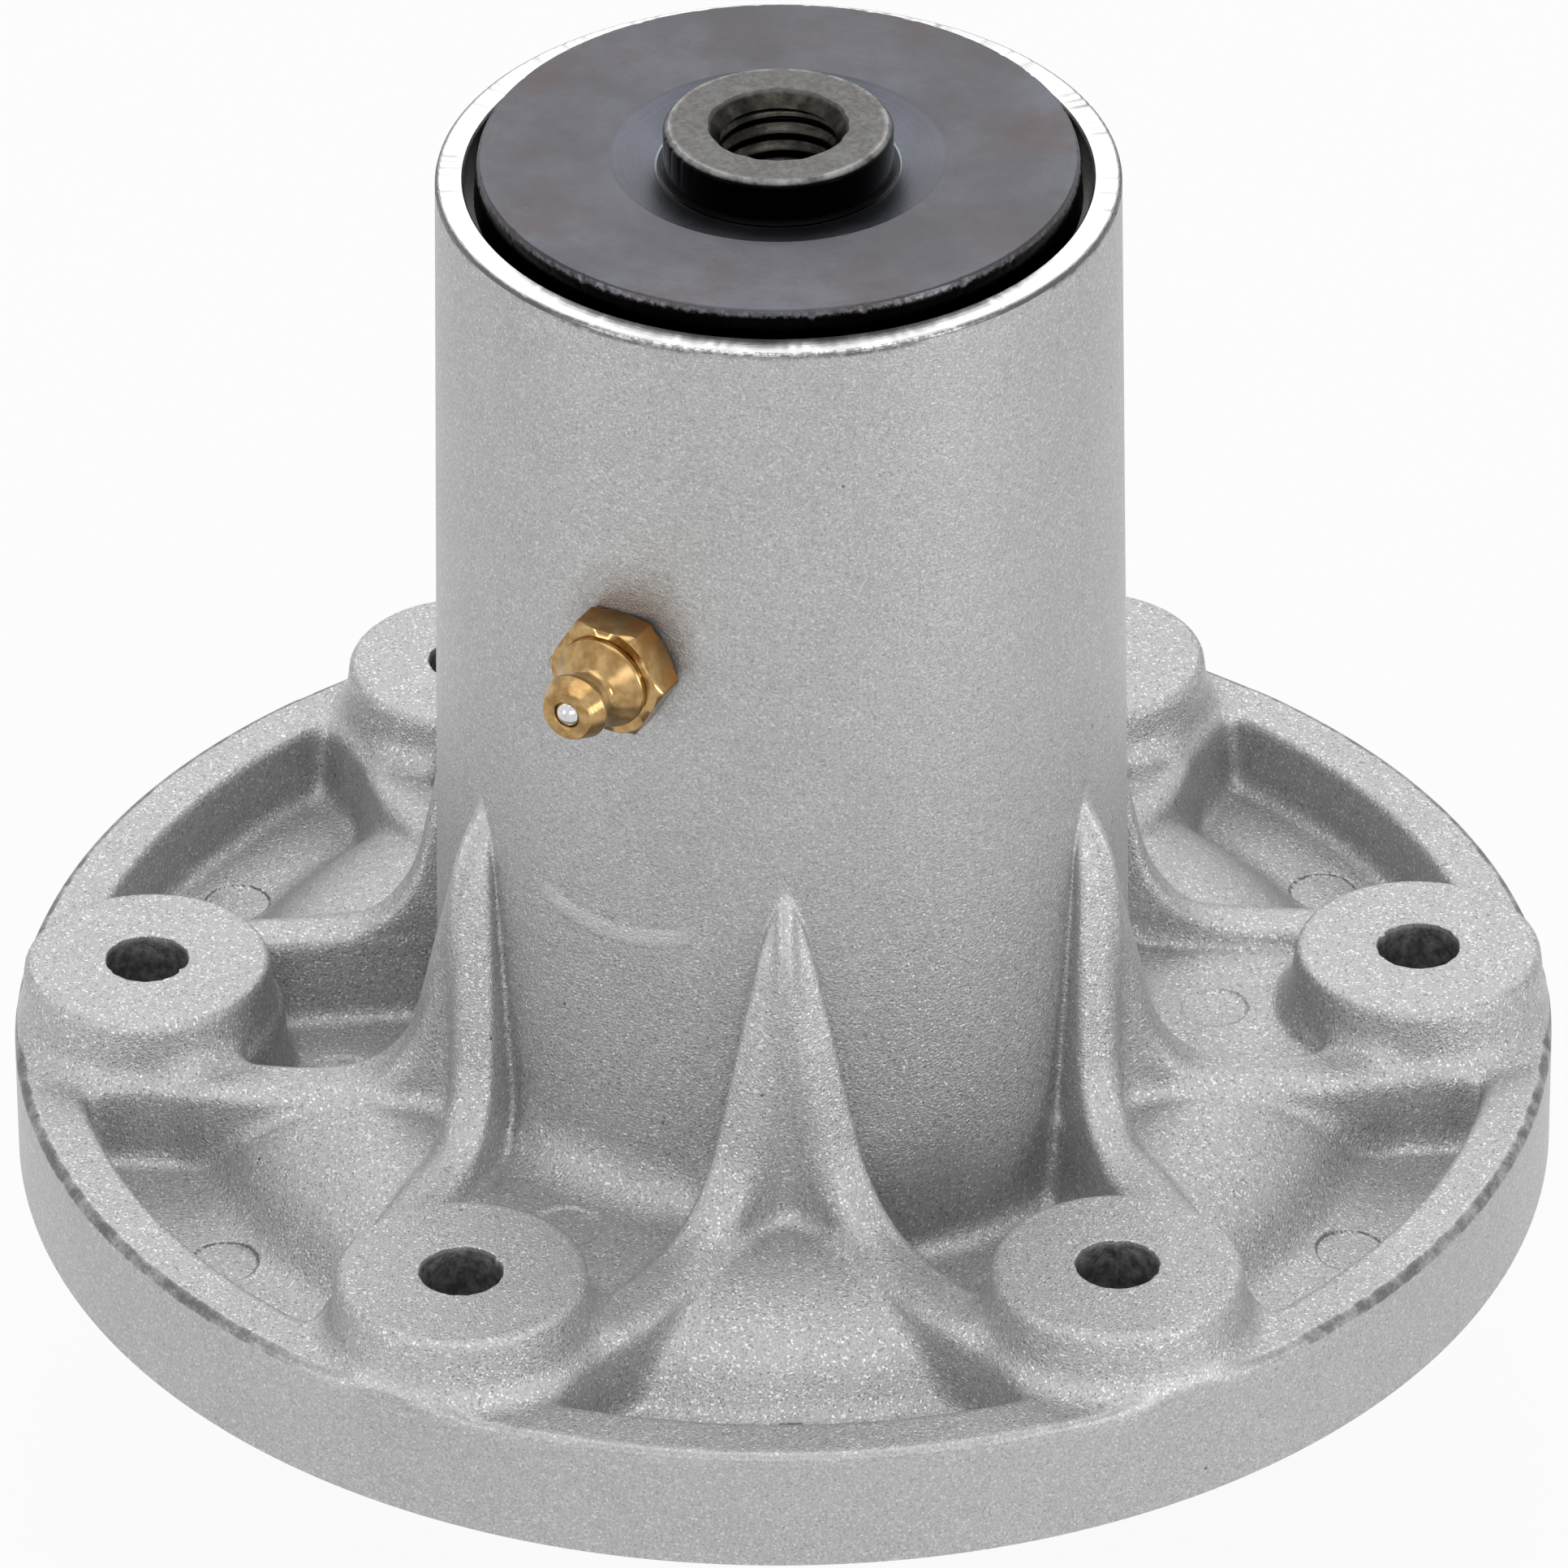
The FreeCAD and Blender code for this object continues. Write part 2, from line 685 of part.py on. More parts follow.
def nipple_body():
    """Brass nipple: threaded shank, hexagon, bell shoulder, neck and head with its ball chamber."""
    hex_top = nipple_hex_thickness
    shoulder_top = hex_top + nipple_shoulder_step
    neck_low = hex_top + nipple_bell_height
    head_low = nipple_length - nipple_head_height
    head_band_low = head_low + nipple_head_back_length
    turned_part = turned_corners([
        (0, -nipple_shank_length),
        (nipple_shank_r - nipple_shank_bevel, -nipple_shank_length),
        (nipple_shank_r, -nipple_shank_length + nipple_shank_bevel),
        (nipple_shank_r, hex_top / 2),
        (nipple_shoulder_r, hex_top / 2),
        (nipple_shoulder_r, shoulder_top),
        (nipple_shoulder_r - nipple_shoulder_bevel, shoulder_top + nipple_shoulder_bevel),
        (nipple_neck_r + nipple_neck_flare, neck_low - nipple_neck_flare_length),
        (nipple_neck_r, neck_low),
        (nipple_neck_r, head_low),
        (nipple_head_r, head_band_low),
        (nipple_head_r, head_band_low + nipple_head_band),
        (nipple_face_r, nipple_length),
        (0, nipple_length),
    ])
    hex_corner_r = nipple_hex_across_flats / math.sqrt(3)
    hex_limit = turned_corners([
        (0, 0),
        (hex_corner_r - nipple_hex_chamfer, 0),
        (hex_corner_r, nipple_hex_chamfer / 2),
        (hex_corner_r, hex_top - nipple_hex_chamfer / 2),
        (hex_corner_r - nipple_hex_chamfer, hex_top),
        (0, hex_top),
    ])
    hex_part = hexagon(nipple_hex_across_flats, 0, hex_top).common(hex_limit)
    chamber_floor = nipple_length - nipple_mouth_depth - nipple_chamber_depth
    seat_z = nipple_length - nipple_mouth_depth
    hollow = turned_corners([
        (0, -nipple_shank_length - cut_margin),
        (nipple_passage_r, -nipple_shank_length - cut_margin),
        (nipple_passage_r, chamber_floor),
        (nipple_chamber_r, chamber_floor),
        (nipple_chamber_r, seat_z - nipple_seat_length),
        (nipple_mouth_r, seat_z),
        (nipple_mouth_r, nipple_length + cut_margin),
        (0, nipple_length + cut_margin),
    ])
    return on_nipple_axis(turned_part.fuse(hex_part).cut(hollow).removeSplitter())


def nipple_check_ball():
    return on_nipple_axis(faceted_ball(check_ball_r, V(0, 0, check_ball_height())))


def nipple_spring():
    """Open coil from the chamber's floor to the back of the ball."""
    low = nipple_length - nipple_mouth_depth - nipple_chamber_depth + spring_wire_r
    ball_back = check_ball_height() - math.sqrt(max(check_ball_r ** 2 - spring_coil_r ** 2, 0))
    high = ball_back - 2 * spring_wire_r
    helix = Part.makeHelix((high - low) / spring_turn_count, high - low, spring_coil_r)
    near = spring_coil_r - spring_wire_r
    far = spring_coil_r + spring_wire_r
    corners = [V(near, 0, -spring_wire_r), V(far, 0, -spring_wire_r),
               V(far, 0, spring_wire_r), V(near, 0, spring_wire_r)]
    section = Part.makePolygon(corners + corners[:1])
    coil = Part.Wire(helix).makePipeShell([section], True, True)
    coil.translate(V(0, 0, low))
    return on_nipple_axis(coil)


def save(name, shape):
    shape.exportStep(os.path.join("parts", name + ".step"))
    print(name, "valid", shape.isValid(), "solids", len(shape.Solids), "volume", round(shape.Volume, 1))


save("spindle_housing", spindle_housing())
save("spindle_shaft", spindle_shaft())
for place, z_low, seal_up in (("blade_end", blade_bearing_z, True), ("pulley_end", pulley_bearing_z, False)):
    save(place + "_outer_ring", outer_ring(z_low, seal_up))
    save(place + "_inner_ring", inner_ring(z_low))
    save(place + "_balls", balls(z_low))
    save(place + "_ball_cage", ball_cage(z_low, seal_up))
    save(place + "_seal", seal(z_low, seal_up))
save("inner_ring_spacer", inner_ring_spacer())
save("pulley_washer", pulley_washer())
save("pulley_nut", pulley_nut())
save("nut_lock_insert", nut_lock_insert())
save("nipple_body", nipple_body())
save("nipple_check_ball", nipple_check_ball())
save("nipple_spring", nipple_spring())
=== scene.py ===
"""Looks of the mower deck spindle: blasted cast housing, black shield disc and hub, brass grease nipple."""
import math

import bpy
import numpy as np
from mathutils import Matrix, Vector


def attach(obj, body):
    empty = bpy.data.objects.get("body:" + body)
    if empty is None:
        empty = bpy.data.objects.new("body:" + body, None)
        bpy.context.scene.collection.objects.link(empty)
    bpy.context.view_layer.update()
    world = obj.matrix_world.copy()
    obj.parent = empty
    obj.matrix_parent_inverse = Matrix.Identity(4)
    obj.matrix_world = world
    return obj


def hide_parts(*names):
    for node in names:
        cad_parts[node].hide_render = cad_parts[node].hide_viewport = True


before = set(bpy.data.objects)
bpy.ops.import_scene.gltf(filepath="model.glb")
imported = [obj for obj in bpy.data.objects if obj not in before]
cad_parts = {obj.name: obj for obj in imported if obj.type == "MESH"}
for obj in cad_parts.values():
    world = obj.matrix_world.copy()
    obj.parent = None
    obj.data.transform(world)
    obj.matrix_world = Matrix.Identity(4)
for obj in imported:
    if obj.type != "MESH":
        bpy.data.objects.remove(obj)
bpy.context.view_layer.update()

MM = 0.001
SIXTH = math.pi / 3.0
THIRD = 2.0 * math.pi / 3.0

# Where the photograph is taken from, in radians: round the part from -Y towards +X, and up
PHOTO_TURN = math.radians(29.52)
PHOTO_LIFT = 0.5769
PHOTO_ROLL = -0.0056

# The camera's aim beside the axis and above the mounting face, its distance and its lens, in millimetres
AIM_SIDE = 0.203
AIM_Z = 39.73
PHOTO_DISTANCE = 1470.6
LENS = 340.48

# Sizes of the casting, in millimetres
FLANGE_R = 76.9
BOLT_CIRCLE_R = 63.5
BOLT_HOLE_R = 4.15
BOSS_TOP_Z = 19.7
BOSS_TOP_R = 12.2
RIM_TOP_Z = 13.0
RIM_INNER_R = 71.1
POCKET_FLOOR_Z = 5.1
CROWN_Z = 13.7
WEB_CROWN_R = 42.2
WEB_FOOT_R = 59.0
PAD_TOP_Z = 12.9
RIB_CREST_Z = 14.2
RIB_END_V = 60.0
KITE_DEEP_Z = 5.5
KITE_SHALLOW_Z = 12.6
MARK_R = 3.35
HOUSING_HEIGHT = 110.0
BARREL_TOP_R = 33.2
BARREL_FOOT_R = 34.75
RECESS_R = 30.45
RECESS_FLOOR_Z = 104.2
BEARING_R = 26.0
CORED_BORE_R = 23.0
PULLEY_BEARING_TOP = 17.0
BLADE_BEARING_LOW = 87.0
MACHINED_EDGE = 0.5

# Starts of the rays that trace the casting, and the rows of points on its barrel and on the flange's side
FAN_R = 50.0
FAN_Z = 48.0
DROP_Z = 22.0
SIDE_R = 79.0
BARREL_ROWS = 26
EDGE_ROWS = 15

# Sizes of the shaft, its disc and its hub
DISC_TOP_Z = 112.2
DISC_LOW_Z = 107.2
DISC_R = 29.1
DISC_LOW_R = 29.5
DISH_R = 16.35
DISH_FLOOR_Z = 111.0
HUB_R = 11.15
HUB_TOP_Z = 115.6
NECK_R = 15.6
JOURNAL_R = 12.5
JOURNAL_TOP_Z = 102.0
JOURNAL_END_Z = 3.0
SPLINE_END_Z = -22.0
SPLINE_ROOT_R = 10.3
SPLINE_CREST_R = 11.4
SPLINES = 20
SHAFT_END_Z = -41.0
BLADE_THREAD_MINOR_R = 5.55
BLADE_THREAD_MAJOR_R = 6.35
BLADE_THREAD_PITCH = 1.954
BLADE_THREAD_DEPTH = 38.0
NUT_THREAD_R = 7.94
NUT_THREAD_PITCH = 1.411

# Sizes of the two bearings
BALL_CIRCLE_R = 19.25
BALL_R = 3.969
BLADE_BALLS_Z = 94.5
PULLEY_BALLS_Z = 9.5

# The grease nipple: its axis runs along -Y, and its back is at NIPPLE_BACK_Y
NIPPLE_SIDE = 1.7
NIPPLE_Z = 73.6
NIPPLE_BACK_Y = -33.858
NIPPLE_HEX_FLAT_R = 5.55
NIPPLE_HEX_CORNER_R = 6.42
NIPPLE_HEX_HEIGHT = 3.8
CHECK_BALL_R = 1.55
CHECK_BALL_OUT = 9.817


# Shapes worked out as arrays


def ease(x):
    """0 below 0, 1 above 1, and 3x^2 - 2x^3 between."""
    x = np.clip(x, 0.0, 1.0)
    return x * x * (3.0 - 2.0 * x)


def smooth_min(a, b, blend):
    """The smaller of a and b, less h^2 * blend / 4, where h falls from 1 to 0 as they part by blend."""
    h = np.maximum(blend - np.abs(a - b), 0.0) / blend
    return np.minimum(a, b) - h * h * blend / 4.0


def smooth_max(a, b, blend):
    """The larger of a and b, raised in the same way near their meeting."""
    return -smooth_min(-a, -b, blend)


def surface_normals(points):
    """Cross product of the differences along the columns, which go all the way round, and along the rows."""
    across = np.roll(points, -1, axis=1) - np.roll(points, 1, axis=1)
    along = np.gradient(points, axis=0)
    normal = np.cross(across, along)
    length = np.linalg.norm(normal, axis=2, keepdims=True)
    return normal / np.maximum(length, 1e-12)


def grid_quads(rows, columns, around):
    """Corner numbers of each quad of a grid of points that is stored row after row."""
    row = np.arange(rows - 1)[:, None]
    column = np.arange(columns if around else columns - 1)[None, :]
    after = (column + 1) % columns
    quads = np.stack([row * columns + column, row * columns + after,
                      (row + 1) * columns + after, (row + 1) * columns + column], axis=2)
    return quads.reshape(-1, 4)


def make_piece(name, parts, body, finish, stands_for, normals=None):
    """Piece that rides a body and is seen instead of a CAD node.

    Each part is a list of points in millimetres with its quads. Normals may be given for all the points.
    """
    points = np.concatenate([part[0].reshape(-1, 3) for part in parts])
    starts = np.cumsum([0] + [part[0].size // 3 for part in parts[:-1]])
    quads = np.concatenate([part[1] + start for part, start in zip(parts, starts)])
    mesh = bpy.data.meshes.new(name)
    mesh.vertices.add(len(points))
    mesh.vertices.foreach_set("co", (points * MM).astype(np.float32).ravel())
    mesh.loops.add(quads.size)
    mesh.loops.foreach_set("vertex_index", quads.astype(np.int32).ravel())
    mesh.polygons.add(len(quads))
    mesh.polygons.foreach_set("loop_start", np.arange(0, quads.size, 4, dtype=np.int32))
    mesh.update(calc_edges=True)
    mesh.validate()
    mesh.polygons.foreach_set("use_smooth", np.ones(len(mesh.polygons), dtype=bool))
    if normals is not None:
        mesh.normals_split_custom_set_from_vertices(normals.reshape(-1, 3))
    piece = bpy.data.objects.new(name, mesh)
    bpy.context.scene.collection.objects.link(piece)
    piece.data.materials.append(finish)
    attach(piece, body)
    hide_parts(stands_for)


def housing_piece(name, parts, finish, normals=None):
    """Piece of the casting."""
    make_piece(name, parts, "housing", finish, "spindle_housing", normals)


def shaft_piece(name, parts, finish):
    """Piece of the forged shaft."""
    make_piece(name, parts, "shaft", finish, "spindle_shaft")


def rounded_profile(corners, steps=5):
    """Profile of (radius, height, rounding) corners; a rounding is an arc that touches both sides."""
    line = []
    for i, corner in enumerate(corners):
        here = np.array(corner[:2], dtype=float)
        rounding = corner[2] if len(corner) > 2 else 0.0
        if rounding == 0.0 or i in (0, len(corners) - 1):
            line.append(here)
            continue
        back = np.array(corners[i - 1][:2]) - here
        ahead = np.array(corners[i + 1][:2]) - here
        back = back / np.linalg.norm(back)
        ahead = ahead / np.linalg.norm(ahead)
        half = math.acos(np.clip(np.dot(back, ahead), -1.0, 1.0)) / 2.0
        centre = here + (back + ahead) / np.linalg.norm(back + ahead) * rounding / math.sin(half)
        start = here + back * rounding / math.tan(half) - centre
        end = here + ahead * rounding / math.tan(half) - centre
        for share in np.linspace(0.0, 1.0, steps):
            spoke = start * (1.0 - share) + end * share
            line.append(centre + spoke / np.linalg.norm(spoke) * rounding)
    return np.array(line)


def all_round(columns):
    """Even angles of one full turn, as a row."""
    return np.linspace(0.0, 2.0 * np.pi, columns, endpoint=False)[None, :]


def turned(profile, columns=192, uneven=None):
    """Profile carried round Z: (r sin a, -r cos a, z). uneven(a, r, z) may change r and z a little."""
    angle = all_round(columns)
    radius = profile[:, 0][:, None] + 0.0 * angle
    height = profile[:, 1][:, None] + 0.0 * angle
    if uneven is not None:
        radius, height = uneven(angle + 0.0 * radius, radius, height)
    points = np.stack([radius * np.sin(angle), -radius * np.cos(angle), height], axis=2)
    return points, grid_quads(len(profile), columns, True)


def sharp_profile(corners, steps=5, gap=0.015):
    """Rounded profile with a near point on either side of each plain corner, to keep its shading crisp."""
    line = rounded_profile(corners, steps)
    before = line[:-1]
    after = line[1:]
    length = np.linalg.norm(after - before, axis=1, keepdims=True)
    step = (after - before) / np.maximum(length, 1e-9) * np.minimum(gap, length * 0.2)
    inner = np.stack([before, before + step, after - step], axis=1).reshape(-1, 2)
    return np.concatenate([inner, line[-1:]])


def wobble(angle, seed, waves, low, high):
    """Sum of sine waves round the axis, with seeded phases and counts from low to high; at most about 1."""
    source = np.random.default_rng(seed)
    counts = source.integers(low, high, waves)
    phases = source.uniform(0.0, 2.0 * np.pi, waves)
    total = 0.0 * angle
    for count, phase in zip(counts, phases):
        total = total + np.sin(count * angle + phase)
    return total / math.sqrt(waves) / 1.6


# The casting's outer surface


def barrel_radius(z):
    """Radius of the drafted barrel at a height."""
    share = (z - POCKET_FLOOR_Z) / (HOUSING_HEIGHT - POCKET_FLOOR_Z)
    return BARREL_FOOT_R + (BARREL_TOP_R - BARREL_FOOT_R) * share


def kite_side(v, z):
    """Distance of a rib's steep side from the boss's radial line: near parallel, drafted above the pads."""
    draft = 0.097 * (np.hypot(z - 15.5, 1.5) + z - 15.5) / 2.0
    return 11.4 - 0.09 * (v - 42.0) - 0.4 * ease((v - 49.0) / 6.0) + draft


def pad_side(v):
    """Distance of a pad's side from the boss's radial line: widest beside the pocket, less at the rim."""
    return 13.5 + 2.5 * ease((65.0 - v) / 14.0)


def rib_field(u, v, z):
    """Wall between a steep and a soft side, under a level crest that sweeps up and into the barrel."""
    sweep = ((v - 31.75) * 4.6 + (z - 43.8)) / 4.71
    tip = ((v - 30.8) * 1.6 + (z - 46.0)) / 1.89
    top = smooth_min(z - RIB_CREST_Z, smooth_max(sweep, tip, 1.5), 9.3)
    slant = 0.55 * (np.hypot(36.6 - v, 1.5) + 36.6 - v) / 2.0
    draft = 0.04 * np.maximum(14.0 - z, 0.0)
    soft_side = u - pad_side(v) - 0.1 - 0.8 * ease((42.0 - v) / 4.0) - slant - draft
    past_middle = 0.866 * u - 0.5 * v - 0.3
    wall = smooth_max(soft_side, top, 2.0)
    wall = smooth_max(wall, past_middle, 1.2)
    wall = smooth_max(wall, kite_side(v, z) - u, 1.1)
    return smooth_max(wall, v - RIB_END_V, 3.0)


def pad_and_rim(u, v, r, z):
    """Raised strip below a boss and the flange's rim: drafted walls with rounded corners under one top."""
    pad_wall = u - pad_side(v) - 0.05 * (PAD_TOP_Z - z)
    rim_wall = RIM_INNER_R - 0.04 * (RIM_TOP_Z - z) - r
    raised = ease(0.5 - pad_wall / 1.8)
    cap = z - RIM_TOP_Z - (PAD_TOP_Z - RIM_TOP_Z) * raised
    return smooth_max(smooth_min(rim_wall, pad_wall, 2.6), cap, 1.2)


def kite_field(u, v, z, from_boss, deep):
    """Pocket between a boss, its two ribs and the barrel: drafted sides that close towards the boss."""
    side_top = kite_side(v, z)
    side_foot = 10.2 - 0.09 * (v - 40.0)
    share = np.clip((z - KITE_DEEP_Z) / 7.5, 0.0, 1.0)
    wall = u - side_foot - (side_top - side_foot) * share
    sides = smooth_max(smooth_max(wall, 13.0 - from_boss, 2.0), v - RIB_END_V, 1.0)
    mark = ease(0.5 - (np.hypot(u, v - np.where(deep, 44.3, 43.2)) - MARK_R) / 0.5)
    floor = np.where(deep, KITE_DEEP_Z, KITE_SHALLOW_Z) - 0.24 * mark
    return smooth_max(sides, floor - z, 1.6)


def web_field(r, z):
    """Quarter ellipse that falls from the crown, softly joined to the pocket's floor, as a near distance."""
    run = WEB_FOOT_R - WEB_CROWN_R
    foot_z = POCKET_FLOOR_Z - 1.0
    rise = CROWN_Z - foot_z
    out = np.maximum(r - WEB_CROWN_R, 0.0) / run
    up = np.maximum(z - foot_z, 0.0) / rise
    slope = 2.0 * np.sqrt((out / run) ** 2 + (up / rise) ** 2)
    dome = (out ** 2 + up ** 2 - 1.0) / np.maximum(slope, 0.02)
    return smooth_min(z - POCKET_FLOOR_Z, dome, 3.6)


def housing_field(angle, r, z):
    """Near signed distance to the casting, measured from the nearest boss and the nearest pocket.

    Floor, rim, pads and webs are joined and the kites behind the bosses are cut. Then barrel, ribs and
    bosses join. u and v run across and along the boss's radial line, a and b across and along the pocket's.
    """
    turn = np.round(angle / SIXTH)
    phi = np.abs(angle - turn * SIXTH)
    deep = np.mod(turn, 2.0) == 1.0
    u = r * np.sin(phi)
    v = r * np.cos(phi)
    u_next = r * np.sin(SIXTH - phi)
    v_next = r * np.cos(SIXTH - phi)
    a = r * np.sin(SIXTH / 2.0 - phi)
    b = r * np.cos(SIXTH / 2.0 - phi)
    from_boss = np.hypot(u, v - BOLT_CIRCLE_R)
    steep_side = kite_side(v, z)

    floor = web_field(r, z)
    mark = smooth_max(np.hypot(a, b - 64.1) - MARK_R, POCKET_FLOOR_Z - 0.28 - z, 0.12)
    floor = smooth_max(floor, -mark, 0.12)
    low = smooth_min(floor, pad_and_rim(u, v, r, z), 1.8)
    low = smooth_max(low, -kite_field(u, v, z, from_boss, deep), 0.9)
    beside_rib = np.where(deep, 0.0, 2.4) * ease((steep_side + 1.0 - u) / 3.0)
    foot = 3.0 + beside_rib + 1.8 * ease(1.0 - a / 7.0)
    body = smooth_min(low, r - barrel_radius(z), foot)
    ribs = smooth_min(rib_field(u, v, z), rib_field(u_next, v_next, z), 1.8)
    joint = 0.9 + ease((u - steep_side - 0.8) / 2.0) - 0.6 * ease((z - 34.0) / 9.0)
    body = smooth_min(body, ribs, joint)
    boss = smooth_max(from_boss - BOSS_TOP_R - 0.12 * (BOSS_TOP_Z - z), z - BOSS_TOP_Z, 0.9)
    body = smooth_min(body, boss, 2.6)
    body = smooth_max(body, r - FLANGE_R, 1.1)
    return smooth_max(body, BOLT_HOLE_R + 0.25 - from_boss, 0.1)


def bent(angle, r):
    """Angle of a column of rays at a radius: near the barrel, columns bend towards the pockets' middles."""
    return angle + np.radians(8.0) * np.sin(6.0 * angle) * ease((46.0 - r) / 11.0)


def first_hits(angle, r_start, z_start, r_way, z_way, reach, steps=72):
    """Distance along each ray to where the field first turns negative: even steps, then halvings."""
    shape = np.broadcast(angle, r_start).shape
    outside = np.zeros(shape)
    inside = np.full(shape, reach)
    found = np.zeros(shape, dtype=bool)
    for step in range(1, steps + 1):
        t = reach * step / steps
        r = r_start + r_way * t
        hit = (housing_field(bent(angle, r), r, z_start + z_way * t) < 0.0) & ~found
        inside[hit] = t
        outside[hit] = t - reach / steps
        found |= hit
    outside[~found] = reach
    for _ in range(11):
        middle = (outside + inside) / 2.0
        r = r_start + r_way * middle
        solid = housing_field(bent(angle, r), r, z_start + z_way * middle) < 0.0
        inside = np.where(solid, middle, inside)
        outside = np.where(solid, outside, middle)
    return outside


def housing_points(columns):
    """Outer surface over a third of a turn, as angle, r and z on a grid, and its points over bolt holes.

    Rows stand level on the barrel, then fan out from a point beside it, then drop straight onto the flange,
    and last run level onto the flange's side. The grid is then eased towards even spacing on the surface.
    """
    angle = np.linspace(-SIXTH, SIXTH, columns, endpoint=False)[None, :]
    barrel_z = np.linspace(HOUSING_HEIGHT - 0.45, FAN_Z + 1.0, BARREL_ROWS)[:, None]
    barrel_r = barrel_radius(barrel_z) + 0.0 * angle
    fan = np.radians(180.0 + 90.0 * np.linspace(0.0, 1.0, 150) ** 0.8)[:, None]
    fan_t = first_hits(angle, FAN_R + 0.0 * fan, FAN_Z + 0.0 * fan, np.cos(fan), np.sin(fan), 50.0)
    drop_r = np.linspace(FAN_R, FLANGE_R - 0.35, 116)[1:, None]
    drop_t = first_hits(angle, drop_r, DROP_Z + 0.0 * drop_r, 0.0, -1.0, DROP_Z + 1.0)
    edge_z = (DROP_Z - drop_t[-1:]) * np.linspace(1.0, 0.0, EDGE_ROWS)[1:, None] ** 1.3
    edge_t = first_hits(angle, SIDE_R + 0.0 * edge_z, np.maximum(edge_z, 0.0), -1.0, 0.0, 6.0, 24)
    r = np.concatenate([barrel_r, FAN_R + np.cos(fan) * fan_t, drop_r + 0.0 * drop_t, SIDE_R - edge_t])
    z = np.concatenate([barrel_z + 0.0 * angle, FAN_Z + np.sin(fan) * fan_t, DROP_Z - drop_t, edge_z])
    angle = bent(angle, r)
    open_hole = z < 0.3
    open_hole[-EDGE_ROWS:] = False
    for _ in range(14):
        angle, r, z = eased(angle, r, z)
    return angle, r, z, open_hole


def eased(angle, r, z):
    """One step of each inner point towards the mean of its four neighbours, then back onto the surface."""
    left = np.roll(angle, 1, axis=1)
    left[:, 0] -= THIRD
    right = np.roll(angle, -1, axis=1)
    right[:, -1] += THIRD
    new_angle = angle.copy()
    new_r = r.copy()
    new_z = z.copy()
    pull = 0.55
    sides = ((angle, new_angle, left, right), (r, new_r, np.roll(r, 1, 1), np.roll(r, -1, 1)),
             (z, new_z, np.roll(z, 1, 1), np.roll(z, -1, 1)))
    for old, new, before, after in sides:
        mean = (before[1:-1] + after[1:-1] + old[:-2] + old[2:]) / 4.0
        new[1:-1] = old[1:-1] * (1.0 - pull) + mean * pull
    angle, r, z = new_angle, new_r, new_z
    small = 0.02
    here = housing_field(angle, r, z)
    by_r = (housing_field(angle, r + small, z) - here) / small
    by_z = (housing_field(angle, r, z + small) - here) / small
    by_a = (housing_field(angle + small / r, r, z) - here) / small
    push = -here / np.maximum(by_r ** 2 + by_z ** 2 + by_a ** 2, 0.2)
    push = np.clip(push, -0.6, 0.6)
    push[:BARREL_ROWS] = 0.0
    push[-1] = 0.0
    return angle + push * by_a / r, r + push * by_r, np.maximum(z + push * by_z, 0.0)


def skin_normals(points, angle, r, z):
    """Steepest way out of the housing's field, or the grid's own normals where another face bounds it."""
    small = 0.04
    by_r = (housing_field(angle, r + small, z) - housing_field(angle, r - small, z)) / 2.0
    by_z = (housing_field(angle, r, z + small) - housing_field(angle, r, z - small)) / 2.0
    by_a = (housing_field(angle + small / r, r, z) - housing_field(angle - small / r, r, z)) / 2.0
    by_x = by_r * np.sin(angle) + by_a * np.cos(angle)
    by_y = by_a * np.sin(angle) - by_r * np.cos(angle)
    out = np.stack([by_x, by_y, by_z], axis=2)
    out = out / np.maximum(np.linalg.norm(out, axis=2, keepdims=True), 1e-9)
    by_grid = -surface_normals(points)
    traced = (np.sum(out * by_grid, axis=2, keepdims=True) > 0.3) & (z[..., None] > 0.3)
    return np.where(traced, out, by_grid)


def cast_skin(finish):
    """The traced third of a turn, three times round, cut into six sectors that share one set of normals."""
    columns = 480
    angle, r, z, open_hole = housing_points(columns)
    angle = np.concatenate([angle + THIRD * i for i in range(3)], axis=1)
    r = np.tile(r, (1, 3))
    z = np.tile(z, (1, 3))
    open_hole = np.tile(open_hole, (1, 3))
    points = np.stack([r * np.sin(angle), -r * np.cos(angle), z], axis=2)
    normals = skin_normals(points, angle, r, z)
    per_sector = columns * 3 // 6
    for i in range(6):
        chosen = np.arange(i * per_sector, (i + 1) * per_sector + 1) % (columns * 3)
        sector = points[:, chosen]
        quads = grid_quads(sector.shape[0], sector.shape[1], False)[:, ::-1]
        over_hole = open_hole[:, chosen].ravel()[quads].any(axis=1)
        housing_piece("cast_skin_%d" % (i + 1), [(sector, quads[~over_hole])], finish, normals[:, chosen])


def at_bolts(points):
    """The same points at each of the six bolt places, turned about the part's axis."""
    turned_points = []
    for i in range(6):
        turn = SIXTH * i
        x = points[..., 0]
        y = points[..., 1] - BOLT_CIRCLE_R
        turned_points.append(np.stack([x * math.cos(turn) - y * math.sin(turn),
                                       x * math.sin(turn) + y * math.cos(turn), points[..., 2]], axis=-1))
    return turned_points


